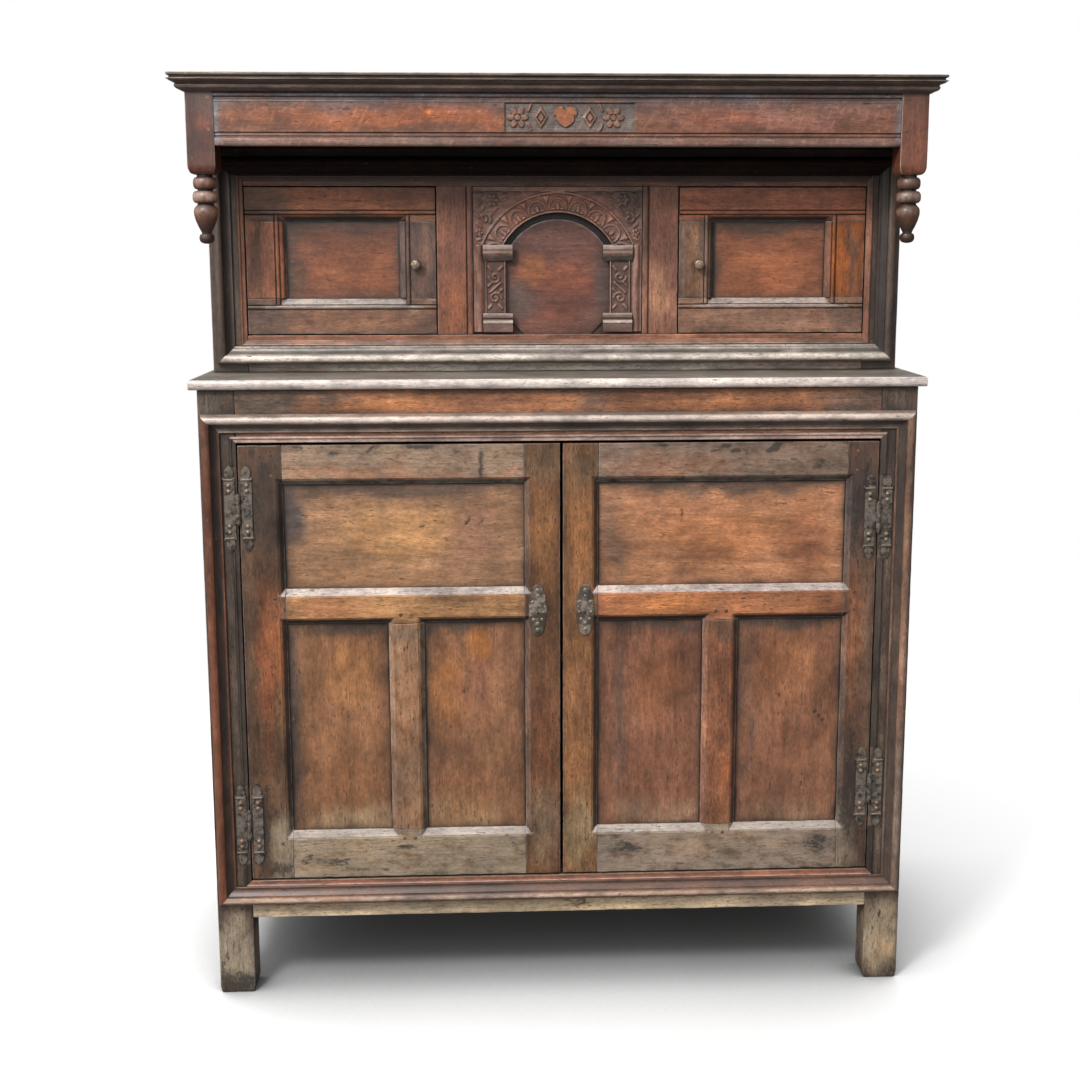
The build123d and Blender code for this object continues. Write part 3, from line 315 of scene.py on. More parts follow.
def stroke(x, z, path, width):
    # a rounded line along a path of points
    best = np.full(len(x), np.inf)
    for (ax, az), (bx, bz) in zip(path, path[1:]):
        dx, dz = bx - ax, bz - az
        t = np.clip(((x - ax) * dx + (z - az) * dz) / (dx * dx + dz * dz), 0, 1)
        best = np.minimum(best, np.hypot(x - ax - t * dx, z - az - t * dz))
    return np.clip(1.5 * (1 - best / width), 0, 1)


def spiral(x, z, centre, radii, turns, start, sign, width):
    angles = np.linspace(0, turns * 2 * math.pi, 40)
    reach = np.linspace(radii[0], radii[1], 40)
    path = [(centre[0] + r * math.cos(start + sign * a), centre[1] + r * math.sin(start + sign * a))
            for a, r in zip(angles, reach)]
    return stroke(x, z, path, width)


def flower(x, z, centre, radius, petals):
    reach = np.hypot(x - centre[0], z - centre[1])
    angle = np.arctan2(z - centre[1], x - centre[0])
    rim = radius * (0.5 + 0.5 * np.abs(np.cos(petals * angle / 2)) ** 0.8)
    leaf = np.clip((rim - reach) / 1.4, 0, 1) * (0.65 + 0.35 * np.abs(np.cos(petals * angle / 2)))
    leaf *= np.where(np.abs(reach - 0.3 * radius) < 0.8, 0.3, 1)
    return leaf


def heart(x, z, centre, size):
    u, v = (x - centre[0]) / size, (z - centre[1]) / size * 1.05 + 0.1
    inside = -((u * u + v * v - 1) ** 3 - u * u * v ** 3)
    return np.clip(inside * 25, 0, 1)


def lozenge(x, z, centre, wide, tall):
    reach = np.abs(x - centre[0]) / wide + np.abs(z - centre[1]) / tall
    return np.clip((1 - reach) * 5, 0, 1) * np.where((reach > 0.42) & (reach < 0.56), 0.25, 1)


def punched(x, z, size):
    # a ground stamped all over with small round dents
    row = np.round(z / size)
    across = (x + 0.5 * size * (row % 2)) / size
    reach = np.hypot(across - np.round(across), z / size - row)
    return np.clip(1 - reach / 0.42, 0, 1)


def sweep(shape, origin, along, out, up, profile, length, shifts, look, grainAxis, step=14 * mm,
          wobble=0.25 * mm):
    # a moulding: profile is (outward, up) round a closed section, and shifts shear its ends for the mitres;
    # stripes of its look lie along it, from one place across its section (0) or height (1) to another
    along, out, up = (np.array(v, float) for v in (along, out, up))
    count = max(2, round(length / step)) + 1
    section = np.array(profile, float)
    runs = np.linspace(0, 1, count)
    u, v = section[:, 0], section[:, 1]
    start, end = shifts[0] * u, length + shifts[1] * u
    s = start[None, :] + (end - start)[None, :] * runs[:, None]
    base = np.array(origin, float)
    points = base + s[..., None] * along + u[None, :, None] * out + v[None, :, None] * up
    points = points.reshape(-1, 3)
    seed = chance.random() * 90
    rows = np.tile(v / max(v.max(), 1e-6), count)
    lift = wobble * (2 * smoothNoise(points, 0.07, seed) - 1) - 0.8 * mm * np.clip(
        3 * smoothNoise(points, 0.012, seed + 3) - 2.1, 0, 1)
    points = points + (np.minimum(lift, 0.1 * mm) * rows)[:, None] * up
    # the proudest parts of the section take the worn highlight
    addTo(shape, points, tubeFaces(count, len(section)), rows ** 3, look, grainAxis, seed)
    uneven = 0.65 + 0.7 * smoothNoise(points, 0.03, seed + 8)
    # stripes paint shade in hollows and highlights on rounds, as well as colours of the wood's own
    for across, colour, first, last, strength in look.get("stripes", ()):
        place = section[:, across] / mm
        weight = np.clip((place - first) / 1.5, 0, 1) * np.clip((last - place) / 1.5, 0, 1)
        blend(shape["tone"][-1], colour, np.clip(strength * uneven * np.tile(weight, count), 0, 1))


def mitredBars(shape, x, z, y, profile, looks, breaks=((), ()), top=None):
    # four lengths of moulding round a rectangle, profile from its outer edge inward; looks: bottom, top,
    # left, right; breaks are the heights that the left and right lengths leave free; top takes the top length
    for made, height, inward, look in ((shape, z[0], 1, looks[0]), (top or shape, z[1], -1, looks[1])):
        sweep(made, (x[0], y, height), (1, 0, 0), (0, 0, inward), (0, -1, 0), profile, x[1] - x[0], (1, -1),
              look, 0)
    for place, inward, look, gaps in ((x[0], 1, looks[2], breaks[0]), (x[1], -1, looks[3], breaks[1])):
        start, slant = z[0], 1
        for gapLow, gapHigh in sorted(gaps) + [(z[1], None)]:
            shear = (slant, -1 if gapHigh is None else 0)
            sweep(shape, (place, y, start), (0, 0, 1), (inward, 0, 0), (0, -1, 0), profile, gapLow - start,
                  shear, look, 2)
            start, slant = gapHigh, 0


def arcPoints(centre, radius, first, last, count):
    # points of an arc between two angles in degrees
    angles = np.radians(np.linspace(first, last, count))
    return [(centre[0] + radius * math.cos(a), centre[1] + radius * math.sin(a)) for a in angles]


def lathe(shape, centre, axis, profile, look, sides=32, grainAxis=2):
    # profile is (radius, place along the axis)
    ring = 2 * np.pi * np.arange(sides) / sides
    first, second = [k for k in range(3) if k != axis]
    radii, places = np.array(profile, float).T
    points = np.zeros((len(radii), sides, 3))
    points[..., first] = centre[first] + radii[:, None] * np.cos(ring)
    points[..., second] = centre[second] + radii[:, None] * np.sin(ring)
    points[..., axis] = places[:, None]
    # the proudest rings take the worn highlight, and the grooves between them are painted darker, as shade
    edge = np.repeat((radii / radii.max()) ** 4, sides)
    addTo(shape, points.reshape(-1, 3), tubeFaces(len(radii), sides), edge, look, grainAxis)
    shape["tone"][-1][:, :3] *= (1 - look.get("grooves", 0) * (1 - edge))[:, None]


def plate(shape, outline, y, thickness, bevel, look):
    # a flat iron plate from its outline of (x, z) points, with softened front edges
    ring = np.array(outline, float)
    before, after = np.roll(ring, 1, axis=0), np.roll(ring, -1, axis=0)
    if np.sum(ring[:, 0] * after[:, 1] - after[:, 0] * ring[:, 1]) < 0:
        ring, before, after = ring[::-1], after[::-1], before[::-1]
    leftOf = [np.stack([-(b - a)[:, 1], (b - a)[:, 0]], 1) for a, b in ((before, ring), (ring, after))]
    leftOf = [side / np.maximum(np.linalg.norm(side, axis=1), 1e-9)[:, None] for side in leftOf]
    inward = leftOf[0] + leftOf[1]
    inward /= np.maximum(np.linalg.norm(inward, axis=1), 1e-9)[:, None]
    points, edge = [], []
    for inset, depth in ((0, 0), (0, thickness - bevel), (0.35, thickness - 0.3 * bevel), (1, thickness)):
        flat = ring + inward * inset * bevel
        points.append(np.stack([flat[:, 0], np.full(len(ring), y - depth), flat[:, 1]], 1))
        edge += [1.0 if inset else 0.2] * len(ring)
    addTo(shape, np.concatenate(points), tubeFaces(len(points), len(ring)), np.array(edge), look)


def dome(shape, x, z, y, radius, height, look):
    # a nail's head, domed toward the front
    rings = [(radius * math.cos(a), y - height * math.sin(a)) for a in np.radians([0, 30, 55, 78])]
    lathe(shape, (x, 0, z), 1, [(radius, y + 0.3 * mm)] + rings, look, sides=12)


def timber(name, node, axis, looks, slot, finish="frame", body="root", boxes=None, trim=None, make=board,
           **how):
    # one piece that stands in for a node of boards; looks is one look for all, or a list in the boxes' order
    boxes = solidBoxes(node) if boxes is None else boxes
    boxes = trimmed(boxes, *trim) if trim else boxes
    shape = newShape()
    for box, look in zip(boxes, [looks] * len(boxes) if isinstance(looks, dict) else looks):
        make(shape, box, axis, look, **how)
    makePiece(name, shape, oak[finish], body, [node])


def plug(tree, node, inputs):
    # links sockets to a node's inputs, and sets any other value on them
    for key, value in inputs.items():
        if isinstance(value, bpy.types.NodeSocket):
            tree.links.new(value, node.inputs[key])
        else:
            node.inputs[key].default_value = value


def addNode(tree, kind, inputs=(), **settings):
    made = tree.nodes.new(kind)
    made.location = (190 * (len(tree.nodes) % 12), -220 * (len(tree.nodes) // 12))
    for key, value in settings.items():
        setattr(made, key, value)
    plug(tree, made, dict(inputs))
    return made


def maths(tree, operation, a, b=0.0, c=0.0, clamp=False):
    return addNode(tree, "ShaderNodeMath", {0: a, 1: b, 2: c}, operation=operation,
                   use_clamp=clamp).outputs[0]


def swung(tree, value, by, base):
    # the base, pushed up and down by a value round one half
    return maths(tree, "MULTIPLY_ADD", maths(tree, "SUBTRACT", value, 0.5), by, base)


def remap(tree, value, low, high, outLow=0.0, outHigh=1.0, smooth=True):
    inputs = {"Value": value, "From Min": low, "From Max": high, "To Min": outLow, "To Max": outHigh}
    kind = "SMOOTHSTEP" if smooth else "LINEAR"
    return addNode(tree, "ShaderNodeMapRange", inputs, interpolation_type=kind).outputs[0]


def mixColour(tree, factor, a, b, way="MIX"):
    return addNode(tree, "ShaderNodeMix", {0: factor, 6: a, 7: b}, data_type="RGBA",
                   blend_type=way).outputs[2]


def tinted(tree, colour, by):
    return mixColour(tree, 1.0, colour, (*by, 1), "MULTIPLY")


def vectors(tree, operation, a, b=(0, 0, 0), output=0):
    return addNode(tree, "ShaderNodeVectorMath", {0: a, 1: b}, operation=operation).outputs[output]


def stretched(tree, vector, by):
    return vectors(tree, "MULTIPLY", vector, by)


def scaledBy(tree, vector, factor):
    return addNode(tree, "ShaderNodeVectorMath", {0: vector, "Scale": factor}, operation="SCALE").outputs[0]


def noiseOf(tree, vector, scale, detail=3.0, roughness=0.55):
    inputs = {"Vector": vector, "Scale": scale, "Detail": detail, "Roughness": roughness}
    return addNode(tree, "ShaderNodeTexNoise", inputs).outputs[0]


def toolsOf(tree):
    # the shared sums, bound to one node tree
    tools = {"mix": mixColour, "tint": tinted, "remap": remap, "noise": noiseOf, "swing": swung,
             "scale": scaledBy, "stretch": stretched}
    sums = {"times": "MULTIPLY", "timesPlus": "MULTIPLY_ADD", "minus": "SUBTRACT"}
    bound = {name: partial(tool, tree) for name, tool in tools.items()}
    return SimpleNamespace(**bound, **{name: partial(maths, tree, kind) for name, kind in sums.items()})


def newGroup(name, inputs, outputs):
    group = bpy.data.node_groups.new(name, "ShaderNodeTree")
    kinds = {"Place": "Vector", "Colour": "Color"}
    for way, labels in (("INPUT", inputs), ("OUTPUT", outputs)):
        for label in labels.split():
            kind = "NodeSocket" + kinds.get(label, "Float")
            group.interface.new_socket(name=label, in_out=way, socket_type=kind)
    return group, group.nodes.new("NodeGroupInput").outputs, toolsOf(group)


def closeGroup(group, **results):
    plug(group, group.nodes.new("NodeGroupOutput"), results)
    return group


grainSizes = {"bend": (1.6, 9, 9), "bendBy": (0, 0.016, 0.016), "bands": (3.0, 42, 42),
              "streaks": (17, 235, 235), "hairs": (75, 700, 700), "pores": (80, 620, 620),
              "rays": (170, 44, 44)}


def makeOakGrain():
    # growth bands, streaks, pores and ray flecks along the first axis of Place
    group, get, t = newGroup("oakGrain", "Place Colour Contrast Rays Pores", "Colour Height")
    place, sizes = get["Place"], grainSizes
    bend = addNode(group, "ShaderNodeTexNoise",
                   {"Vector": t.stretch(place, sizes["bend"]), "Scale": 1.0, "Detail": 2.0}).outputs[1]
    shift = vectors(group, "SUBTRACT", bend, (0.5, 0.5, 0.5))
    moved = vectors(group, "ADD", t.stretch(shift, sizes["bendBy"]), place)

    def layer(key, detail, roughness=0.55, where=moved):
        return t.noise(t.stretch(where, sizes[key]), 1.0, detail, roughness)

    both = t.timesPlus(layer("streaks", 4.0, 0.65), 0.5, t.times(layer("bands", 3.0, 0.6), 0.5))
    line = t.timesPlus(layer("hairs", 2.0, 0.6), 0.22, t.times(both, 0.78))
    ramp = t.remap(t.swing(line, get["Contrast"], 0.5), 0.12, 0.88, smooth=False)
    colour = t.mix(ramp, t.tint(get["Colour"], (0.30, 0.27, 0.25)), t.tint(get["Colour"], (1.78, 1.70, 1.60)))
    pores = t.remap(layer("pores", 1.0), 0.60, 0.70)
    colour = t.mix(t.times(pores, get["Pores"]), colour, (0.02, 0.012, 0.008, 1))
    turned = addNode(group, "ShaderNodeVectorRotate", {"Vector": place, "Angle": 0.5}, rotation_type="Z_AXIS")
    rays = t.times(t.remap(layer("rays", 2.0, where=turned.outputs[0]), 0.56, 0.66), get["Rays"])
    colour = t.mix(rays, colour, t.tint(colour, (1.62, 1.62, 1.38)))
    return closeGroup(group, Colour=colour, Height=t.minus(line, t.times(pores, 0.25)))


agedColours = {"dirt": (0.017, 0.014, 0.012, 1), "rubbed": (0.56, 0.47, 0.41, 1),
               "bleached": (0.36, 0.30, 0.23, 1), "speck": (0.42, 0.38, 0.34, 1),
               "hole": (0.006, 0.004, 0.003, 1)}
agedClouds = ((13.0, 5.0, 0.62), (60.0, 5.0, 0.72), (230.0, 3.0, 0.6))  # scale, detail and roughness


def makeAgedSurface():
    # dirt, rubbed and bleached patches, worn edges with a painted highlight, specks, holes, and grime with
    # painted shade in the corners
    group, get, t = newGroup("agedSurface", "Place Colour Height Dirt Rub Bleach Edge Mottle Wear",
                             "Colour Roughness Height")
    soft = t.stretch(get["Place"], (0.55, 1, 1))
    cloud, blot, fine = (t.noise(soft, *how) for how in agedClouds)

    def over(colour, kind, amount, way="MIX"):
        return t.mix(amount, colour, agedColours[kind], way)

    dull, warm = t.tint(get["Colour"], (0.48, 0.46, 0.46)), t.tint(get["Colour"], (1.50, 1.44, 1.36))
    colour = t.mix(t.remap(t.swing(cloud, get["Mottle"], 0.5), 0.2, 0.8, smooth=False), dull, warm)
    grit = t.remap(fine, 0.32, 0.68, 0.84, 1.16, smooth=False)
    colour = t.scale(colour, t.times(grit, t.remap(blot, 0.3, 0.7, 0.62, 1.38, smooth=False)))
    colour = over(colour, "bleached", t.times(get["Bleach"], t.remap(blot, 0.3, 0.65)))
    rub = t.remap(t.swing(blot, 1.1, get["Rub"]), 0.36, 0.75)
    colour = over(colour, "rubbed", t.times(rub, 0.75))
    dirt = t.remap(t.swing(fine, 0.9, t.swing(blot, 1.5, get["Dirt"])), 0.34, 0.74)
    colour = over(colour, "dirt", t.times(dirt, 0.82), "DARKEN")
    # edges and the proudest parts lightened: wear with a painted highlight
    worn = t.remap(t.times(get["Edge"], t.timesPlus(blot, 0.8, 0.28)), 0.3, 0.8)
    worn = t.times(worn, get["Wear"])
    colour = t.mix(worn, colour, t.mix(0.55, t.tint(colour, (1.9, 2.0, 2.1)), agedColours["rubbed"]))
    colour = over(colour, "speck", t.times(t.remap(fine, 0.68, 0.76), 0.35))
    flecks = t.remap(t.noise(t.stretch(get["Place"], (0.3, 1, 1)), 150.0, 3.0, 0.7), 0.62, 0.68)
    flecks = t.times(flecks, t.remap(cloud, 0.40, 0.62))
    colour = over(colour, "dirt", t.times(flecks, 0.8), "DARKEN")
    cracks = t.minus(t.noise(t.stretch(get["Place"], (6, 95, 95)), 1.0, 4.0, 0.6), 0.5)
    cracks = t.remap(maths(group, "ABSOLUTE", cracks), 0.004, 0.016, 1.0, 0.0)
    colour = over(colour, "hole", t.times(t.times(cracks, t.remap(blot, 0.50, 0.60)), 0.75))
    holes = addNode(group, "ShaderNodeTexVoronoi",
                    {"Vector": get["Place"], "Scale": 62.0}).outputs["Distance"]
    holes = t.times(t.remap(holes, 0.05, 0.09, 1.0, 0.0), t.remap(cloud, 0.5, 0.6))
    colour = over(colour, "hole", holes)
    # ambient occlusion darkens corners and the joins between parts: grime with painted shade
    corner = addNode(group, "ShaderNodeAmbientOcclusion", {"Distance": 0.03}, samples=3).outputs["AO"]
    grimeAndShade = t.timesPlus(get["Wear"], -0.45, 1.15)
    grimeAndShade = t.times(t.remap(corner, 0.3, 0.96, 0.9, 0.0), grimeAndShade, clamp=True)
    colour = over(colour, "dirt", grimeAndShade, "DARKEN")
    rough = t.timesPlus(dirt, 0.12, t.timesPlus(cloud, 0.35, 0.30))
    rough = t.timesPlus(worn, -0.1, rough, clamp=True)
    height = t.timesPlus(blot, 0.8, t.timesPlus(fine, 0.3, get["Height"]))
    return closeGroup(group, Colour=colour, Roughness=rough, Height=t.minus(height, t.times(holes, 1.5)))


oakGrain = makeOakGrain()
agedSurface = makeAgedSurface()


def newMaterial(name):
    material = bpy.data.materials.new(name)
    material.use_nodes = True
    tree = material.node_tree
    tree.nodes.clear()
    surface = addNode(tree, "ShaderNodeBsdfPrincipled")
    output = addNode(tree, "ShaderNodeOutputMaterial", {"Surface": surface.outputs[0]})
    return material, tree, surface, output


def attribute(tree, name):
    return addNode(tree, "ShaderNodeAttribute", attribute_name=name).outputs


def objectPlace(tree):
    return addNode(tree, "ShaderNodeTexCoord").outputs["Object"]


def bumped(tree, strength, distance, height):
    inputs = {"Strength": strength, "Distance": distance, "Height": height}
    return addNode(tree, "ShaderNodeBump", inputs).outputs[0]


plainMarks = {"Dirt": 0.1, "Rub": 0.0, "Bleach": 0.2, "Edge": 0.0}
waxRoughness = 0.32
grainHeight = 1.1 * mm


def oakMaterial(name, settings, plain=None):
    # the painted oak reads its colour and masks from the mesh; plain gives one colour for pieces without them
    material, tree, surface, _ = newMaterial(name)
    if plain is None:
        place, tone = attribute(tree, "grain")["Vector"], attribute(tree, "tone")["Color"]
        mask = attribute(tree, "mask")
        split = addNode(tree, "ShaderNodeSeparateColor", {"Color": mask["Color"]}).outputs
        marks = {"Dirt": split[0], "Rub": split[1], "Bleach": split[2], "Edge": mask["Alpha"]}
    else:
        place, tone, marks = objectPlace(tree), (*linear(plain), 1), plainMarks
    given = {"Place": place, "Colour": tone, "Contrast": settings["contrast"], "Rays": settings["rays"],
             "Pores": settings["pores"]}
    grain = addNode(tree, "ShaderNodeGroup", given, node_tree=oakGrain).outputs
    given = {"Place": place, "Colour": grain["Colour"], "Height": grain["Height"],
             "Mottle": settings["mottle"], "Wear": settings["wear"]}
    aged = addNode(tree, "ShaderNodeGroup", given | marks, node_tree=agedSurface).outputs
    plug(tree, surface, {
        "Base Color": aged["Colour"], "Roughness": aged["Roughness"],
        "Normal": bumped(tree, settings["bump"], grainHeight, aged["Height"]), "Coat Weight": settings["wax"],
        "Coat Roughness": waxRoughness, "Specular IOR Level": settings["shine"]})
    return material


# wear scales the worn highlight and thins the grime and painted shade in the corners
finishParts = ("contrast", "rays", "pores", "mottle", "wear", "bump", "wax", "shine")
oakFinishes = {
    "frame": (1.4, 0.1, 0.55, 1.5, 0.6, 0.45, 0.12, 0.5),
    "panel": (1.0, 0.1, 0.22, 1.2, 0.4, 0.3, 0.18, 0.5),
    "frieze": (1.1, 0.6, 0.25, 1.1, 0.5, 0.35, 0.2, 0.3),
    "moulding": (1.1, 0.0, 0.3, 1.5, 1.0, 0.3, 0.35, 0.5),
    "carved": (0.8, 0.0, 0.3, 1.5, 0.8, 0.4, 0.15, 0.5),
    "weathered": (1.8, 0.1, 0.7, 1.6, 0.5, 0.7, 0.0, 0.5),
    # a dull copy of the oak, without sheen, for the parts painted into the canopy's shadow
    "sooty": (1.0, 0.0, 0.2, 1.5, 0.0, 0.3, 0.0, 0.1),
    "rough": (1.9, 0.15, 0.6, 1.5, 0.0, 0.6, 0.0, 0.5),
}
oakFinishes = {name: dict(zip(finishParts, row)) for name, row in oakFinishes.items()}
oak = {name: oakMaterial("oak_" + name, settings) for name, settings in oakFinishes.items()}


def makeIron():
    # wrought iron: near black, rusty in patches, scuffed on its edges
    material, tree, surface, _ = newMaterial("wrought_iron")
    t = toolsOf(tree)
    place = objectPlace(tree)
    broad, fine = t.noise(place, 42.0, 5.0, 0.65), t.noise(place, 260.0, 4.0, 0.6)
    rust = t.remap(t.timesPlus(fine, 0.4, broad), 0.68, 0.84)
    colour = t.mix(t.times(rust, 0.75), attribute(tree, "tone")["Color"], (0.13, 0.055, 0.028, 1))
    scuff = t.times(attribute(tree, "mask")["Alpha"], t.remap(broad, 0.42, 0.6))
    height = t.timesPlus(broad, 1.3, t.times(fine, 0.5))
    plug(tree, surface, {
        "Base Color": t.mix(t.times(scuff, 0.5), colour, (0.34, 0.30, 0.26, 1)),
        "Roughness": t.timesPlus(fine, 0.35, 0.32), "Metallic": t.remap(rust, 0.1, 0.7, 0.65, 0.05),
        "Normal": bumped(tree, 0.6, 0.0012, height)})
    return material


def makePlainMetal(name, colour, tarnish, metallic):
    material, tree, surface, _ = newMaterial(name)
    t = toolsOf(tree)
    spots = t.noise(objectPlace(tree), 110.0, 5.0, 0.65)
    stained = t.mix(t.remap(spots, 0.38, 0.66), (*linear(colour), 1), (*linear(tarnish), 1))
    plug(tree, surface, {"Base Color": stained, "Roughness": t.timesPlus(spots, 0.4, 0.22),
                         "Metallic": metallic, "Normal": bumped(tree, 0.3, 0.0006, spots)})
    return material


iron = makeIron()
knobMetal = makePlainMetal("knob_metal", (164, 142, 122), (72, 56, 46), 0.55)
plainIron = makePlainMetal("dark_iron", (122, 112, 102), (44, 38, 34), 0.25)
print("materials made")


# grime and painted shade gathered round a panel, a painted shadow line along its top and left edges, and
# grime along a board:
# colour, strength, and its reach from the left, right, bottom and top
panelShadeAndGrime = ((66, 54, 46), 0.65, 12, 8, 7, 16)
panelEdgeShadow = ((14, 11, 10), 1.4, 3.2, 1.6, 0, 4.2)
grimy = {"borders": [((66, 52, 44), 0.5, 5, 5, 4, 5)]}

panelEdge = {"width": 12, "sill": 16, "depth": 8, "quirk": 1.3,
             "turns": (0.04, 0.14, 0.32, 0.55, 0.78, 0.90, 0.935, 1.0)}
# the upper doors' edge: how deep it is at each distance from the opening, in millimetres
bandedRun = [(0, 8), (1, 7.6), (4, 5.6), (8, 3.6), (11, 2.6), (11.6, 4.4), (12.6, 4.4), (13.2, 1.6),
             (14.4, 0.5), (16.5, 0), (18.6, 0.5), (19.8, 1.6), (20.4, 3.2), (21.4, 3.2), (22, 0)]
# strengths of the painted highlight on sills and right-hand edges, the grey dust on the bands, and the
# painted shade on heads and left-hand edges
rubbed, paintedShade = {"sill": (0.6, 0.85), "side": 0.10, "band": 0.4}, {"head": 0.93, "side": 0.8}


def edgeCut(openings, banded=None):
    # how deep the moulding round each framed opening cuts the front, where its breaks lie, and where painted
    # highlight, dust and painted shade lie on it; banded is the way a member with the upper doors' edge runs,
    # 0 or 2
    reach = bandedRun[-1][0] if banded is not None else panelEdge["width"]

    def beyond(points, opening):
        (x0, x1), (z0, z1) = opening
        x, z = points[:, 0], points[:, 2]
        return (np.maximum(np.maximum(x0 - x, x - x1), 0) / mm, np.maximum(z0 - z, 0) / mm,
                np.maximum(z - z1, 0) / mm)

    def depthAt(points):
        deepest = np.zeros(len(points))
        for opening in openings:
            aside, below, above = beyond(points, opening)
            if banded is None:
                t = np.maximum(np.maximum(aside, above) / panelEdge["width"], below / panelEdge["sill"])
                slope = panelEdge["quirk"] + (panelEdge["depth"] - panelEdge["quirk"]) * np.clip(
                    1 - t / 0.9, 0, 1) ** 0.85
                cut = np.where(t < 0.95, slope, 0)
            else:
                run = np.array(bandedRun)
                both = np.maximum(np.maximum(aside, above), below)
                t = both if banded == 2 else np.maximum(above, below)
                t = np.where((both > 11.6) & (banded == 0) & (t < 11.6), both, t)
                cut = np.interp(t, run[:, 0], run[:, 1])
            deepest = np.maximum(deepest, cut)
        return deepest * mm

    def shadeAt(points):
        # painted highlight on sills and right-hand edges, which face the light; painted shade on heads and
        # left-hand edges, which face away from it; the upper doors' bands pale with dust
        pale, dark = np.zeros(len(points)), np.zeros(len(points))
        for opening in openings:
            (x0, x1), (z0, z1) = opening
            aside, below, above = beyond(points, opening)
            level = (aside < below) & (below > 0.4) & (below < 0.88 * panelEdge["sill"])
            side = (aside > 0.4) & (aside < 0.88 * panelEdge["width"]) & (above + below < 0.8 * aside)
            head = (above > 0.2) & (above < 0.7 * panelEdge["width"]) & (aside < above)
            band = (banded is not None) & (below > 12.6) & (below < 20.4) & (aside < 44)
            right = side & (points[:, 0] > x1)
            pale = np.maximum(pale, rubbed["sill"][banded is None] * level + rubbed["side"] * right
                              + rubbed["band"] * band)
            left = side & (points[:, 0] < x0) & (aside < 8)
            dark = np.maximum(dark, paintedShade["head"] * head + paintedShade["side"] * left)
        return pale, dark

    xs, zs = [], []
    for (x0, x1), (z0, z1) in openings:
        if banded is None:
            sides = [t * panelEdge["width"] * mm for t in panelEdge["turns"]]
            lower = [t * panelEdge["sill"] * mm for t in panelEdge["turns"]]
        else:
            sides = lower = [u * mm for u, _ in bandedRun]
        xs += [x0 - t for t in sides] + [x1 + t for t in sides]
        zs += [z0 - t for t in lower] + [z1 + t for t in sides]
    return {"carve": depthAt, "marks": (xs, (), zs), "shade": shadeAt, "rounding": 1.2 * mm}


def framedOpening(panel):
    # the opening before a panel that sits in grooves: (left, right), (bottom, top)
    groove = tenons["panel"]
    (x0, _, z0), (x1, _, z1) = panel
    return (x0 + groove, x1 - groove), (z0 + groove, z1 - groove)


def panelBoard(shape, box, grainAxis, look):
    # a thin panel held in grooves, with grime and painted shade along the edges where it meets its frame,
    # darkest at the top and left
    groove = tenons["panel"]
    near = groove + np.array([0.3, 1.5, 3, 5, 8]) * mm
    marks = [[box[0][k] + t for t in near] + [box[1][k] - t for t in near] for k in range(3)]
    board(shape, box, grainAxis, look | {"borders": [panelShadeAndGrime, panelEdgeShadow]}, step=8 * mm, wave=0.8 * mm,
          marks=(marks[0], (), marks[2]), hidden=(groove, groove))
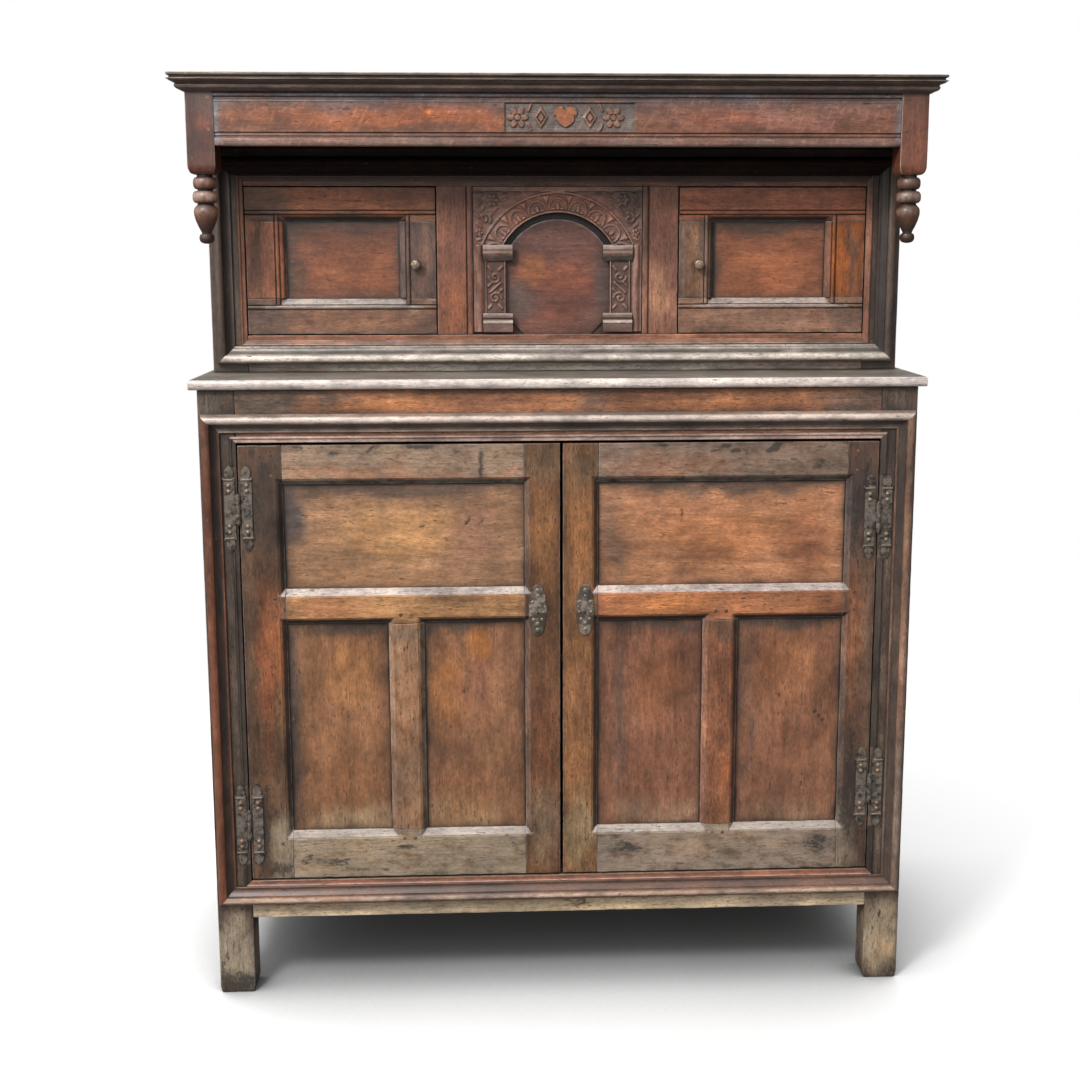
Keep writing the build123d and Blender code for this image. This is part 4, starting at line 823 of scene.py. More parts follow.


# and beside the stiles, with patina
# the dark grey bands along the tops and left-hand edges of the panels are painted shade under the rails
lowerDoorLooks = {
    "left": {
        "hingeStile": wood((88, 66, 50), 0.5, dirt=0.12, patches=[(-540, 700, 26, 130, (134, 82, 50), 0.8),
            (-560, 640, 12, 220, (120, 70, 44), 0.7), (-524, 286, 34, 84, (128, 113, 92), 0.9),
            (-540, 950, 30, 110, (74, 60, 52), 0.9), (-520, 1040, 22, 30, (84, 68, 56), 0.8),
            (-525, 560, 14, 60, (116, 88, 60), 0.7)], bleachSpots=[(-524, 280, 34, 70, 0.5)],
            dirtSpots=[(-566, 985, 30, 110, 0.42), (-566, 340, 24, 110, 0.55), (-530, 262, 30, 14, 0.5)]),
        "meetingStile": wood((103, 71, 48), patches=[(-36, 1040, 34, 34, (97, 80, 61), 0.8),
            (-30, 900, 30, 110, (125, 87, 54), 0.8), (-30, 520, 32, 90, (107, 67, 46), 0.7),
            (-34, 330, 36, 80, (110, 95, 78), 0.8)], dirtSpots=[(-18, 960, 10, 30, 0.5),
            (-40, 660, 30, 40, 0.25)]),
        "top": wood((141, 118, 99), 0.3, bleach=0.25, patches=[(-380, 1030, 150, 14, (163, 110, 73), 0.7),
            (-200, 1016, 220, 9, (167, 110, 85), 0.7)], dirtSpots=[(-430, 1070, 34, 7, 0.9),
            (-255, 1070, 40, 8, 0.9), (-150, 1045, 5, 34, 0.85), (-110, 1064, 30, 8, 0.6),
            (-490, 1072, 20, 8, 0.7), (-350, 1072, 24, 6, 0.7), (-190, 1074, 20, 5, 0.7),
            (-350, 1040, 24, 5, 0.55), (-230, 1048, 30, 4, 0.5)]),
        "middle": wood((162, 122, 85), 0.3, patches=[(-420, 775, 70, 24, (147, 92, 65), 0.7),
            (-300, 780, 150, 26, (171, 132, 92), 0.7)], dirtSpots=[(-470, 796, 26, 12, 0.4),
            (-112, 778, 12, 10, 0.45)]),
        "bottom": wood((136, 118, 96), 0.35, bleach=0.55, patches=[(-330, 300, 130, 22, (149, 127, 98), 0.7),
            (-200, 260, 160, 18, (125, 106, 84), 0.6)], dirtSpots=[(-455, 266, 66, 18, 0.62),
            (-302, 292, 26, 9, 0.7), (-220, 296, 24, 8, 0.4), (-380, 250, 70, 8, 0.5),
            (-100, 300, 50, 18, 0.35)]),
        "muntin": wood((128, 94, 68), 0.3, bleach=0.2, patches=[(-290, 720, 40, 22, (105, 85, 69), 0.8),
            (-290, 560, 30, 90, (141, 98, 64), 0.6)], dirtSpots=[(-296, 650, 8, 20, 0.4),
            (-288, 400, 20, 20, 0.25)]),
        "upperPanel": wood((149, 115, 88), 0.3, patches=[(-503, 955, 26, 70, (76, 71, 75), 0.9),
            (-300, 990, 220, 14, (99, 86, 82), 0.75), (-300, 905, 120, 50, (171, 130, 84), 0.6),
            (-160, 900, 50, 70, (151, 113, 94), 0.6), (-330, 820, 150, 16, (135, 98, 65), 0.5)],
            dirtSpots=[(-176, 935, 6, 14, 0.75), (-150, 925, 5, 16, 0.8), (-196, 900, 6, 12, 0.6),
            (-140, 962, 10, 5, 0.6)]),
        "lowerPanels": [
            wood((127, 91, 65), patches=[(-504, 560, 14, 190, (84, 75, 71), 0.8),
                (-400, 728, 90, 14, (76, 67, 61), 0.85), (-400, 640, 50, 70, (153, 108, 69), 0.7),
                (-400, 420, 60, 60, (124, 86, 58), 0.6), (-400, 342, 90, 34, (146, 128, 104), 0.75),
                (-430, 332, 60, 7, (90, 72, 60), 0.5)], rubSpots=[(-492, 706, 2.5, 12, 0.5)]),
            wood((127, 91, 67), patches=[(-230, 728, 90, 14, (76, 67, 61), 0.85),
                (-160, 690, 22, 36, (169, 110, 56), 0.85), (-220, 600, 40, 80, (157, 105, 61), 0.6),
                (-160, 620, 26, 60, (127, 86, 71), 0.6), (-200, 350, 90, 44, (148, 122, 92), 0.75),
                (-190, 390, 60, 50, (129, 88, 58), 0.5)], rubSpots=[(-186, 644, 8, 4, 0.55)])]},
    "right": {
        "hingeStile": wood((98, 75, 62), 0.5, dirt=0.15, patches=[(556, 700, 20, 150, (138, 89, 61), 0.65),
            (556, 960, 24, 100, (77, 63, 57), 0.8), (540, 290, 40, 80, (124, 108, 92), 0.85)],
            bleachSpots=[(540, 280, 34, 70, 0.4)], dirtSpots=[(562, 950, 30, 110, 0.45),
            (562, 390, 28, 120, 0.55)]),
        "meetingStile": wood((131, 92, 60), patches=[(36, 1030, 34, 44, (103, 86, 66), 0.7),
            (40, 900, 24, 90, (147, 101, 62), 0.6), (36, 560, 30, 120, (118, 82, 56), 0.6),
            (36, 320, 36, 80, (129, 115, 89), 0.8)], dirtSpots=[(20, 700, 8, 60, 0.4)]),
        "top": wood((122, 98, 84), 0.35, bleach=0.25, patches=[(200, 1035, 120, 22, (149, 98, 70), 0.6),
            (420, 1040, 90, 26, (109, 88, 74), 0.7)], dirtSpots=[(300, 1070, 34, 8, 0.95),
            (480, 1046, 26, 20, 0.6), (190, 1073, 22, 6, 0.95), (400, 1071, 24, 8, 0.95),
            (340, 1068, 10, 7, 0.95), (250, 1048, 24, 6, 0.6), (120, 1040, 14, 10, 0.5),
            (520, 1072, 24, 7, 0.7)]),
        "middle": wood((160, 106, 74), 0.35, patches=[(200, 772, 80, 24, (189, 125, 75), 0.6),
            (430, 772, 70, 26, (138, 94, 68), 0.7)], dirtSpots=[(500, 780, 30, 20, 0.4)]),
        "bottom": wood((126, 107, 94), 0.35, bleach=0.55,
            patches=[(300, 290, 140, 26, (152, 128, 102), 0.6)], dirtSpots=[(130, 282, 44, 20, 0.65),
            (330, 268, 34, 14, 0.6), (500, 280, 50, 30, 0.6), (240, 248, 60, 8, 0.5)]),
        "muntin": wood((136, 90, 66), 0.35, patches=[(310, 720, 40, 20, (106, 82, 66), 0.8),
            (310, 340, 40, 40, (128, 88, 62), 0.6), (316, 445, 10, 44, (172, 100, 54), 0.8)],
            dirtSpots=[(326, 520, 5, 30, 0.5)]),
        "upperPanel": wood((168, 121, 90), 0.35, patches=[(300, 990, 220, 14, (99, 85, 79), 0.8),
            (100, 900, 18, 90, (105, 92, 83), 0.6), (300, 900, 130, 50, (176, 116, 75), 0.6),
            (460, 890, 50, 80, (152, 98, 70), 0.6)], dirtSpots=[(230, 940, 8, 12, 0.5)]),
        "lowerPanels": [
            wood((124, 85, 66), patches=[(190, 728, 90, 14, (78, 69, 64), 0.85),
                (112, 560, 13, 190, (88, 77, 72), 0.5), (190, 620, 50, 80, (140, 92, 61), 0.6),
                (190, 345, 90, 40, (148, 122, 102), 0.75), (190, 410, 60, 60, (112, 75, 59), 0.6)]),
            wood((128, 89, 68), patches=[(430, 728, 90, 14, (78, 69, 64), 0.85),
                (362, 560, 12, 190, (88, 77, 72), 0.45), (430, 640, 60, 70, (146, 98, 66), 0.6),
                (430, 342, 90, 28, (138, 112, 92), 0.7), (430, 390, 60, 50, (110, 77, 61), 0.6)],
                dirtSpots=[(499, 545, 5, 24, 0.8), (496, 318, 7, 15, 0.85), (385, 690, 4, 8, 0.7)])]}}


def lowerDoor(side):
    looks = lowerDoorLooks[side]
    door, stage = side + "_door", "oak_lower_stage"
    upper, lower = solidBoxes(door + "_upper_panel"), solidBoxes(door + "_lower_panels")
    cut = edgeCut([framedOpening(box) for box in upper + lower]) | {"step": 11 * mm}
    names = ("hingeStile", "meetingStile") if side == "left" else ("meetingStile", "hingeStile")
    timber(door + "_stile_wood", door + "_stiles", 2, [looks[k] | grimy for k in names], stage, body=door,
           **cut)
    timber(door + "_rail_wood", door + "_rails", 0, [looks[k] | grimy for k in ("bottom", "middle", "top")],
           stage, body=door, trim=(0, tenons["door"]), **cut)
    timber(door + "_muntin_wood", door + "_muntin", 2, looks["muntin"], stage, body=door,
           trim=(2, tenons["door"]), **cut)
    timber(door + "_upper_panel_wood", door + "_upper_panel", 0, looks["upperPanel"], "oak_panel", "panel",
           door, upper, make=panelBoard)
    timber(door + "_lower_panel_wood", door + "_lower_panels", 2, looks["lowerPanels"], "oak_panel", "panel",
           door, lower, make=panelBoard)


for side in ("left", "right"):
    lowerDoor(side)
print("lower doors made")

pegLook = wood((104, 76, 56), 0.5)
pegSize = {"sides": 9, "proud": (0.2, 0.7), "uneven": (0.86, 1.08), "tip": 0.82}


def pegPiece(name, node, body):
    # trimmed oak pins, a little uneven and just proud of the face
    shape = newShape()
    sides = pegSize["sides"]
    for low, high in solidBoxes(node):
        centre = (low + high) / 2
        angle = chance.random() * 6.28 + 2 * math.pi * np.arange(sides) / sides
        proud = chance.uniform(*pegSize["proud"]) * mm
        reach = (high[0] - low[0]) / 2 * np.array([chance.uniform(*pegSize["uneven"]) for _ in range(sides)])
        points = [np.stack([centre[0] + share * reach * np.cos(angle), np.full(sides, y),
                            centre[2] + share * reach * np.sin(angle)], 1)
                  for share, y in ((1, high[1]), (1, low[1] - proud + 0.5 * mm),
                                   (pegSize["tip"], low[1] - proud))]
        addTo(shape, np.concatenate(points), tubeFaces(3, sides), np.full(3 * sides, 0.4), pegLook, 1)
    makePiece(name, shape, oak["frame"], body, [node], crease=30)


pegPiece("left_door_peg_ends", "left_door_pegs", "left_door")
pegPiece("right_door_peg_ends", "right_door_pegs", "right_door")
pegPiece("frame_peg_ends", "frame_pegs", "root")

stageLooks = {
    "leftStile": wood((82, 71, 63), 0.45, dirt=0.1, patches=[(-632, 80, 40, 80, (160, 147, 127), 0.9),
        (-632, 20, 40, 30, (101, 91, 76), 0.8), (-655, 1160, 30, 30, (88, 80, 74), 0.8)],
        bleachSpots=[(-632, 70, 40, 90, 0.6)], dirtSpots=[(-636, 20, 40, 34, 0.62), (-625, 110, 8, 40, 0.4),
        (-650, 70, 10, 22, 0.4)]),
    "rightStile": wood((90, 78, 70), 0.45, dirt=0.1, patches=[(632, 90, 40, 90, (154, 140, 116), 0.9),
        (640, 20, 40, 30, (132, 112, 90), 0.8), (640, 60, 12, 26, (194, 155, 114), 0.8)],
        bleachSpots=[(632, 80, 40, 90, 0.6)], dirtSpots=[(650, 20, 26, 26, 0.5), (625, 110, 8, 40, 0.4)]),
    "bottomRail": wood((206, 188, 160), 0.35, bleach=0.5,
        patches=[(-440, 175, 130, 14, (160, 142, 122), 0.7), (0, 165, 200, 14, (216, 190, 150), 0.6)],
        dirtSpots=[(-560, 180, 50, 16, 0.5), (-250, 182, 90, 5, 0.5), (30, 172, 50, 8, 0.7),
        (250, 184, 70, 5, 0.5), (-100, 158, 200, 3, 0.4), (480, 172, 30, 8, 0.4)]),
    "topRail": wood((144, 99, 71), patches=[(-560, 1160, 90, 30, (90, 79, 70), 0.95),
        (-440, 1170, 60, 9, (88, 86, 83), 0.7), (60, 1155, 30, 26, (94, 91, 88), 0.5),
        (560, 1160, 90, 30, (96, 82, 74), 0.9), (-300, 1150, 120, 12, (169, 114, 74), 0.8),
        (300, 1150, 160, 12, (163, 110, 74), 0.7)], dirtSpots=[(-440, 1150, 16, 12, 0.5),
        (280, 1168, 30, 6, 0.5)]),
    "deck": wood((110, 107, 103), 0.3, bleach=0.15, rub=0.02),
    "side": wood((104, 80, 62), 0.5, dirt=0.1),
    "sidePanel": wood((120, 86, 62), 0.5),
    "rear": wood((110, 90, 72), 0.5, bleach=0.2)}
footWear = {"share": 0.09, "height": 15 * mm, "marks": np.array([3, 6, 9, 12, 16]) * mm}


def footedBoard(shape, box, axis, look):
    # a corner post, worn in a little at its foot
    def wornFoot(points):
        middle = (box[0] + box[1]) / 2
        inset = footWear["share"] * np.clip(1 - points[:, 2] / footWear["height"], 0, 1) ** 2
        made = points.copy()
        made[:, 0] += (middle[0] - made[:, 0]) * inset
        return made

    board(shape, box, axis, look, rounding=2.2 * mm, wear=1.6 * mm, marks=((), (), footWear["marks"]),
          shapeIt=wornFoot)


deckNose = {"pale": 1.5, "paleReach": 5.5, "reach": 16 * mm, "round": 6.5 * mm,
            "rises": np.array([2.4, 3.6, 5, 7, 9, 11, 13, 14.4, 15.6]) * mm}


# the deck's rounded nose is painted pale where it faces the light: a painted highlight
def paleNose(points):
    ahead = (points[:, 1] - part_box("deck_boards")[0][1]) / mm
    return deckNose["pale"] * np.exp(-(ahead / deckNose["paleReach"]) ** 4), np.zeros(len(points))


def roundNose(points):
    # the front edge of the deck is rounded over its whole thickness
    low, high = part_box("deck_boards")
    level = (2 * points[:, 2] - low[2] - high[2]) / (high[2] - low[2])
    near = np.clip(1 - (points[:, 1] - low[1]) / deckNose["reach"], 0, 1)
    made = points.copy()
    made[:, 1] += deckNose["round"] * near * (1 - np.sqrt(np.clip(1 - 0.96 * level ** 2, 0, 1)))
    return made


def deckBoard(shape, box, axis, look):
    board(shape, box, axis, look, rounding=1.5 * mm, marks=((), (), box[0][2] + deckNose["rises"]),
          shade=paleNose, shapeIt=roundNose)


timber("lower_front_stile_wood", "lower_front_stiles", 2, [stageLooks["leftStile"], stageLooks["rightStile"]],
       "oak_lower_stage", "weathered", make=footedBoard)
timber("lower_front_rail_wood", "lower_front_rails", 0, [stageLooks["bottomRail"], stageLooks["topRail"]],
       "oak_lower_stage", "weathered", trim=(0, tenons["frontRail"]), wear=1.4 * mm)
timber("deck_wood", "deck_boards", 0, stageLooks["deck"], "oak_lower_stage", "moulding", make=deckBoard)
timber("lower_rear_stile_wood", "lower_rear_stiles", 2, stageLooks["rear"], "oak_lower_stage", step=24 * mm)
timber("lower_side_rail_wood", "lower_side_rails", 1, stageLooks["side"], "oak_lower_stage",
       trim=(1, tenons["sideRail"]), step=24 * mm)
timber("side_panel_wood", "side_panels", 2, stageLooks["sidePanel"], "oak_panel", "panel", step=24 * mm)
print("lower stage made")

ridge = {"sideInset": 5 * mm, "foot": 31 * mm, "head": 45 * mm}
bead = {"width": 12 * mm}


def scaled(profile):
    return [(u * mm, v * mm) for u, v in profile]


def ridgeProfile():
    # quirk, round and hollow, from the outer edge inward; (inward, proud)
    made = [(0, 0), (0, 6), (1.2, 9.5)]
    made += [(10.6 + 8 * math.cos(a), 12.4 + 7.4 * math.sin(a))
             for a in np.radians(np.linspace(190, -12, 13))]
    made += [(18.5, 10.6)]
    made += [(18.6 + 11.4 * t, 10.8 - 7.2 * math.sin(t * math.pi / 2))
             for t in (0.12, 0.28, 0.46, 0.64, 0.82, 1.0)]
    return scaled(made + [(30.4, 4.6), (33.4, 4.6), (34, 4.0), (34, 0)])


def beadProfile():
    arc = arcPoints((3.0, 1.9), 2.1, 150, 20, 6)
    inner = [(5.6, 1.6), (6.6, 1.2), (11.2, 1.0), (12, 0.4), (12, 0)]
    return scaled([(0, 0), (0, 2.2), (0.8, 3.2)] + arc + inner)


# of the upper lengths, up under the canopy, are its painted shadow
# stripes paint shade into the hollows and a highlight along the upper side of each round; the near-black
# colours
mouldingLooks = {
    "lowerBottom": wood((94, 69, 54), rub=0.1, worn=0.7, stripes=[(0, (84, 58, 46), 18, 32, 0.9),
        (0, (170, 148, 131), 9, 16, 0.65)], patches=[(-420, 190, 160, 14, (132, 92, 62), 0.6),
        (360, 200, 200, 16, (118, 84, 66), 0.5)]),
    "lowerTop": wood((126, 115, 110), 0.35, rub=0.24, stripes=[(0, (88, 72, 63), 18, 28, 0.9),
        (0, (140, 120, 112), 30, 36, 1), (0, (188, 170, 160), 3, 13, 0.6)]),
    "lowerLeft": wood((113, 70, 50), worn=0.3, stripes=[(0, (50, 40, 36), 17.5, 31, 1)],
        patches=[(-640, 1080, 20, 90, (108, 78, 62), 0.6)]),
    "lowerRight": wood((119, 92, 77), 0.45, worn=0.55, stripes=[(0, (68, 57, 51), 17.5, 31, 1)],
        patches=[(640, 330, 60, 190, (114, 101, 92), 0.85)]),
    "lowerBead": wood((164, 143, 136), rub=0.1, worn=0.35, stripes=[(0, (182, 159, 150), 4.5, 14, 1)]),
    "lowerBeadBottom": wood((128, 82, 62)),
    "lowerBeadDark": wood((62, 54, 49), 0.45, worn=0.35),
    "upperBottom": wood((170, 165, 161), 0.35, rub=0.16, worn=0.65, stripes=[(0, (82, 76, 72), 18, 27, 0.9),
        (0, (202, 197, 191), 6, 17, 0.55)]),
    "upperSide": wood((78, 64, 57), worn=0.45, stripes=[(0, (40, 32, 29), 17.5, 31, 1)],
        patches=[(0, 1590, 700, 50, (24, 13, 11), 0.95)]),
    "upperTop": wood((34, 20, 17), worn=0.0),
    "upperBead": wood((124, 92, 76), worn=0.8),
    "upperBeadTop": wood((60, 38, 32), worn=0.3),
    "upperBeadSide": wood((124, 84, 66), worn=0.5, patches=[(0, 1560, 700, 60, (40, 31, 28), 0.9)])}


def looksFor(*names):
    return [mouldingLooks[name] for name in names]


def outerX(node, inset):
    low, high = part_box(node)
    return low[0] + inset, high[0] - inset


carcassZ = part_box("lower_front_stiles")[1][2]
footZ = solidBoxes("lower_front_rails")[0][0][2]
openZ = (solidBoxes("lower_front_rails")[0][1][2], solidBoxes("lower_front_rails")[1][0][2])
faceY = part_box("lower_front_stiles")[0][1]
openX = (solidBoxes("lower_front_stiles")[0][1][0], solidBoxes("lower_front_stiles")[1][0][0])
shape = newShape()
mitredBars(shape, outerX("lower_front_stiles", ridge["sideInset"]),
           (footZ + ridge["foot"], carcassZ - ridge["head"]),
           faceY, ridgeProfile(), looksFor("lowerBottom", "lowerTop", "lowerLeft", "lowerRight"))
hingeLeaves = [box for box in solidBoxes("hinge_frame_leaves") if box[1][2] - box[0][2] > 100 * mm]
hingeSpans = [[(low[2] - 0.5 * mm, high[2] + 0.5 * mm) for low, high in hingeLeaves if (low[0] > 0) == right]
              for right in (False, True)]
mitredBars(shape, (openX[0] - bead["width"], openX[1] + bead["width"]),
           (openZ[0] - bead["width"], openZ[1] + bead["width"]), faceY, beadProfile(),
           looksFor("lowerBeadBottom", "lowerBead", "lowerBeadDark", "lowerBeadDark"), hingeSpans)
makePiece("lower_opening_moulding_wood", shape, oak["moulding"], "root",
          ["lower_opening_moulding"], crease=32)

# upper stage
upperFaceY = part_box("upper_front_stiles")[0][1]
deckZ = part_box("deck_boards")[1][2]
upperRails = trimmed(solidBoxes("upper_front_rails"), 0, tenons["frontRail"])
upperZ = (upperRails[0][1][2], upperRails[1][0][2])
upperMould = {"sideInset": 10 * mm, "rise": 16 * mm, "head": 55 * mm, "beadRise": 9 * mm}
shape = newShape()
shaded = newShape()
mitredBars(shape, outerX("upper_front_stiles", upperMould["sideInset"]),
           (deckZ + upperMould["rise"], upperZ[1] + upperMould["head"]), upperFaceY, ridgeProfile(),
           looksFor("upperBottom", "upperTop", "upperSide", "upperSide"), top=shaded)
reach = bead["width"] + upperMould["beadRise"]
mitredBars(shape, (openX[0] - bead["width"], openX[1] + bead["width"]),
           (upperZ[0] - reach, upperZ[1] + reach),
           upperFaceY, beadProfile(), looksFor("upperBead", "upperBeadTop", "upperBeadSide", "upperBeadSide"))
makePiece("upper_opening_moulding_wood", shape, oak["moulding"], "root",
          ["upper_opening_moulding"], crease=32)
# the top length is painted into the canopy's shadow and takes the dull finish
makePiece("upper_opening_moulding_top", shaded, oak["sooty"], "root", crease=32)
print("mouldings made")

upperLooks = {
    "stile": wood((78, 66, 58), dirt=0.08),
    # the rails' near-black band at the top is the canopy's painted shadow
    "rail": wood((124, 80, 60), patches=[(0, 1215, 640, 26, (220, 214, 206), 1.0),
        (0, 1262, 560, 8, (146, 96, 70), 0.7), (0, 1600, 700, 42, (34, 19, 16), 0.95)]),
    "muntins": [
        wood((118, 78, 62), patches=[(-196, 1330, 30, 60, (140, 84, 56), 0.6)],
            dirtSpots=[(-190, 1400, 5, 16, 0.5), (-180, 1372, 5, 10, 0.5)]),
        wood((130, 90, 75), 0.5, patches=[(198, 1360, 16, 60, (184, 142, 108), 0.55),
            (204, 1480, 30, 50, (145, 92, 68), 0.5)], dirtSpots=[(200, 1350, 14, 60, 0.3)],
            rubSpots=[(198, 1370, 10, 46, 0.3)])],
    "archPanel": wood((98, 64, 55), 0.5, patches=[(-50, 1392, 32, 34, (143, 90, 54), 0.75),
        (20, 1376, 52, 34, (133, 77, 56), 0.7), (10, 1310, 56, 20, (115, 64, 50), 0.5),
        (-70, 1330, 30, 40, (90, 77, 74), 0.8), (84, 1370, 20, 60, (86, 71, 70), 0.8),
        (0, 1460, 90, 26, (113, 79, 74), 0.6), (70, 1300, 40, 24, (103, 79, 70), 0.6)]),
    "sideRail": wood((96, 72, 58), 0.5),
    "friezeSide": wood((120, 78, 58)),
    # the soffit's near black is painted shadow under the canopy
    "soffit": wood((8, 4, 3))}

# the bead on each muntin's edge beside the arch, from the middle of the cupboard outward
muntinRun = [(165.2, 1.2), (167, 0.2), (170, 0), (173, 0.4), (174.6, 1.6), (175.2, 3.6), (176.4, 3.6),
             (177, 0)]


def muntinBead(points):
    run = np.array(muntinRun)
    return np.interp(np.abs(points[:, 0]) / mm, run[:, 0], run[:, 1]) * mm


timber("upper_front_stile_wood", "upper_front_stiles", 2, upperLooks["stile"], "oak_upper_stage",
       step=14 * mm)
timber("upper_front_rail_wood", "upper_front_rails", 0, upperLooks["rail"], "oak_upper_stage",
       boxes=upperRails)
timber("upper_muntin_wood", "upper_muntins", 2, upperLooks["muntins"], "oak_upper_stage",
       trim=(2, tenons["muntin"]), step=9 * mm, carve=muntinBead,
       marks=([side * u * mm for side in (-1, 1) for u, _ in muntinRun], (), ()))
timber("upper_rear_stile_wood", "upper_rear_stiles", 2, stageLooks["rear"], "oak_upper_stage", step=24 * mm)
timber("upper_side_rail_wood", "upper_side_rails", 1, upperLooks["sideRail"], "oak_upper_stage",
       trim=(1, tenons["sideRail"]), step=24 * mm)
timber("side_frieze_wood", "side_friezes", 1, upperLooks["friezeSide"], "oak_upper_stage",
       trim=(1, tenons["sideFrieze"]), step=24 * mm)
timber("soffit_wood", "soffit_boards", 0, upperLooks["soffit"], "oak_upper_stage", "sooty", step=24 * mm)

# the dark bands along the top and left-hand edge of each panel are painted shade, with patina
upperDoorLooks = {
    "left": {
        "rails": [
            wood((116, 87, 72), patches=[(-400, 1300, 120, 18, (134, 95, 72), 0.7),
                (-560, 1300, 40, 30, (96, 80, 70), 0.8), (-400, 1334, 190, 6, (150, 130, 114), 0.6)]),
            wood((138, 86, 58), patches=[(-560, 1520, 40, 34, (94, 74, 62), 0.8),
                (-400, 1496, 190, 5, (104, 90, 80), 0.7)])],
        "stiles": [
            wood((146, 94, 70), patches=[(-575, 1410, 12, 80, (84, 66, 56), 0.8)]),
            wood((100, 80, 72), patches=[(-262, 1410, 12, 90, (122, 86, 68), 0.5)])],
        "panel": wood((117, 73, 53), 0.35, patches=[(-400, 1480, 120, 12, (88, 66, 54), 0.8),
            (-505, 1410, 16, 80, (94, 71, 59), 0.7), (-380, 1400, 90, 40, (133, 80, 49), 0.6)])},
    "right": {
        "rails": [
            wood((124, 92, 76), patches=[(400, 1300, 120, 18, (130, 102, 88), 0.7),
                (560, 1300, 40, 30, (94, 78, 70), 0.8), (400, 1334, 190, 6, (150, 130, 114), 0.6)]),
            wood((150, 92, 66), patches=[(400, 1496, 190, 5, (104, 90, 80), 0.7)])],
        "stiles": [
            wood((118, 94, 81), patches=[(262, 1410, 12, 90, (146, 102, 66), 0.6)]),
            wood((141, 80, 36), patches=[(575, 1410, 12, 80, (84, 66, 56), 0.8)])],
        "panel": wood((140, 87, 61), 0.35, patches=[(400, 1480, 120, 12, (94, 72, 61), 0.8),
            (300, 1410, 16, 80, (100, 78, 67), 0.7), (420, 1400, 90, 40, (152, 95, 63), 0.6)])}}


def upperDoor(side):
    looks, body = upperDoorLooks[side], side + "_upper_door"
    panel = solidBoxes(body + "_panel")
    for part, axis, trim in (("rails", 0, None), ("stiles", 2, (2, tenons["door"]))):
        timber(f"{body}_{part}_wood", f"{body}_{part}", axis, [look | grimy for look in looks[part]],
               "oak_upper_stage", body=body, trim=trim, step=10 * mm,
               **edgeCut([framedOpening(panel[0])], axis))
    timber(body + "_panel_wood", body + "_panel", 0, looks["panel"], "oak_panel", "panel", body, panel,
           make=panelBoard)


for side in ("left", "right"):
    upperDoor(side)
print("upper doors made")

canopyLooks = {
    "cornice": wood((99, 84, 79), worn=0.7),
    "lid": wood((88, 74, 62)),
    "frieze": wood((112, 76, 60), 0.2, rubbed=(122, 104, 102), grey=(112, 118, 129), ground=(104, 98, 98),
        motif=(128, 100, 88), heart=(152, 96, 66), patches=[(-345, 1669, 250, 20, (140, 84, 54), 0.85),
        (-240, 1667, 60, 18, (150, 84, 48), 0.5), (-160, 1667, 50, 20, (146, 82, 48), 0.5),
        (380, 1669, 210, 19, (144, 101, 91), 0.7), (0, 1626, 700, 7, (124, 88, 74), 0.9),
        (300, 1668, 70, 16, (140, 82, 58), 0.6), (-243, 1670, 7, 6, (225, 135, 45), 0.9)]),
    "post": wood((82, 45, 30), patches=[(-630, 1700, 26, 30, (84, 62, 56), 0.7),
        (-640, 1655, 20, 14, (122, 68, 48), 0.6), (640, 1600, 40, 200, (122, 76, 58), 0.85),
        (640, 1690, 24, 30, (98, 68, 56), 0.6)], dirtSpots=[(-627, 1690, 8, 10, 0.5)]),
    "drop": wood((98, 66, 50), 0.35, rub=0.03, worn=0.8, grooves=0.75)}

corniceSize = {"out": 22 * mm, "hollow": 5 * mm, "hollowReach": 9 * mm,
               "lidRises": np.array([0, 0.7, 1.5, 2.6, 3.8, 5, 6.2, 7.4, 8.4, 10.6, 11.5, 12]) * mm}
corniceProfile = [(0, 0), (4, 0), (4.6, 1.4), (7.2, 2.0), (10.6, 3.2), (13.2, 5.4), (14.2, 8.4),
                  (13.6, 10.6), (12.4, 11.4), (13.0, 12.4), (14.8, 14.0), (17.8, 15.2), (20.8, 15.8),
                  (22, 16.6), (22, 18), (0, 18)]
dropProfile = [(1, 1445.3), (4, 1445.6), (9, 1447), (12.5, 1450.5), (13.5, 1456), (12, 1461.5),
               (8.5, 1463.5), (8.5, 1465), (10.5, 1469), (14.5, 1477), (18.5, 1487), (21, 1497),
               (21.5, 1503), (20, 1509), (15.5, 1514), (14, 1516.5), (14.5, 1517.5), (19, 1518.5),
               (22, 1523), (22.5, 1528.5), (22, 1534), (19, 1538.5), (13.5, 1540), (13.5, 1542),
               (18, 1543.5), (20.5, 1548), (21, 1553.5), (20.5, 1559), (18, 1563), (14, 1564.5), (14, 1569)]
postSize = {"foot": 1568 * mm, "taper": 16 * mm, "inset": 9 * mm, "step": 9 * mm,
            "rises": np.array([0, 0.8, 2, 3.5, 5.5, 8, 11, 14, 17]) * mm, "falls": np.array([2, 0.8, 0]) * mm}


def cornice():
    low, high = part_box("cornice_moulding")
    x0, x1, y0 = low[0] + corniceSize["out"], high[0] - corniceSize["out"], low[1] + corniceSize["out"]
    shape = newShape()
    section = scaled(corniceProfile)
    look = canopyLooks["cornice"]
    sweep(shape, (x0, y0, low[2]), (1, 0, 0), (0, -1, 0), (0, 0, 1), section, x1 - x0, (-1, 1), look, 0)
    for x, out in ((x0, -1), (x1, 1)):
        sweep(shape, (x, y0, low[2]), (0, 1, 0), (out, 0, 0), (0, 0, 1), section, high[1] - y0, (-1, 0),
              look, 1)
    makePiece("cornice_wood", shape, oak["moulding"], "root", ["cornice_moulding"], crease=30)


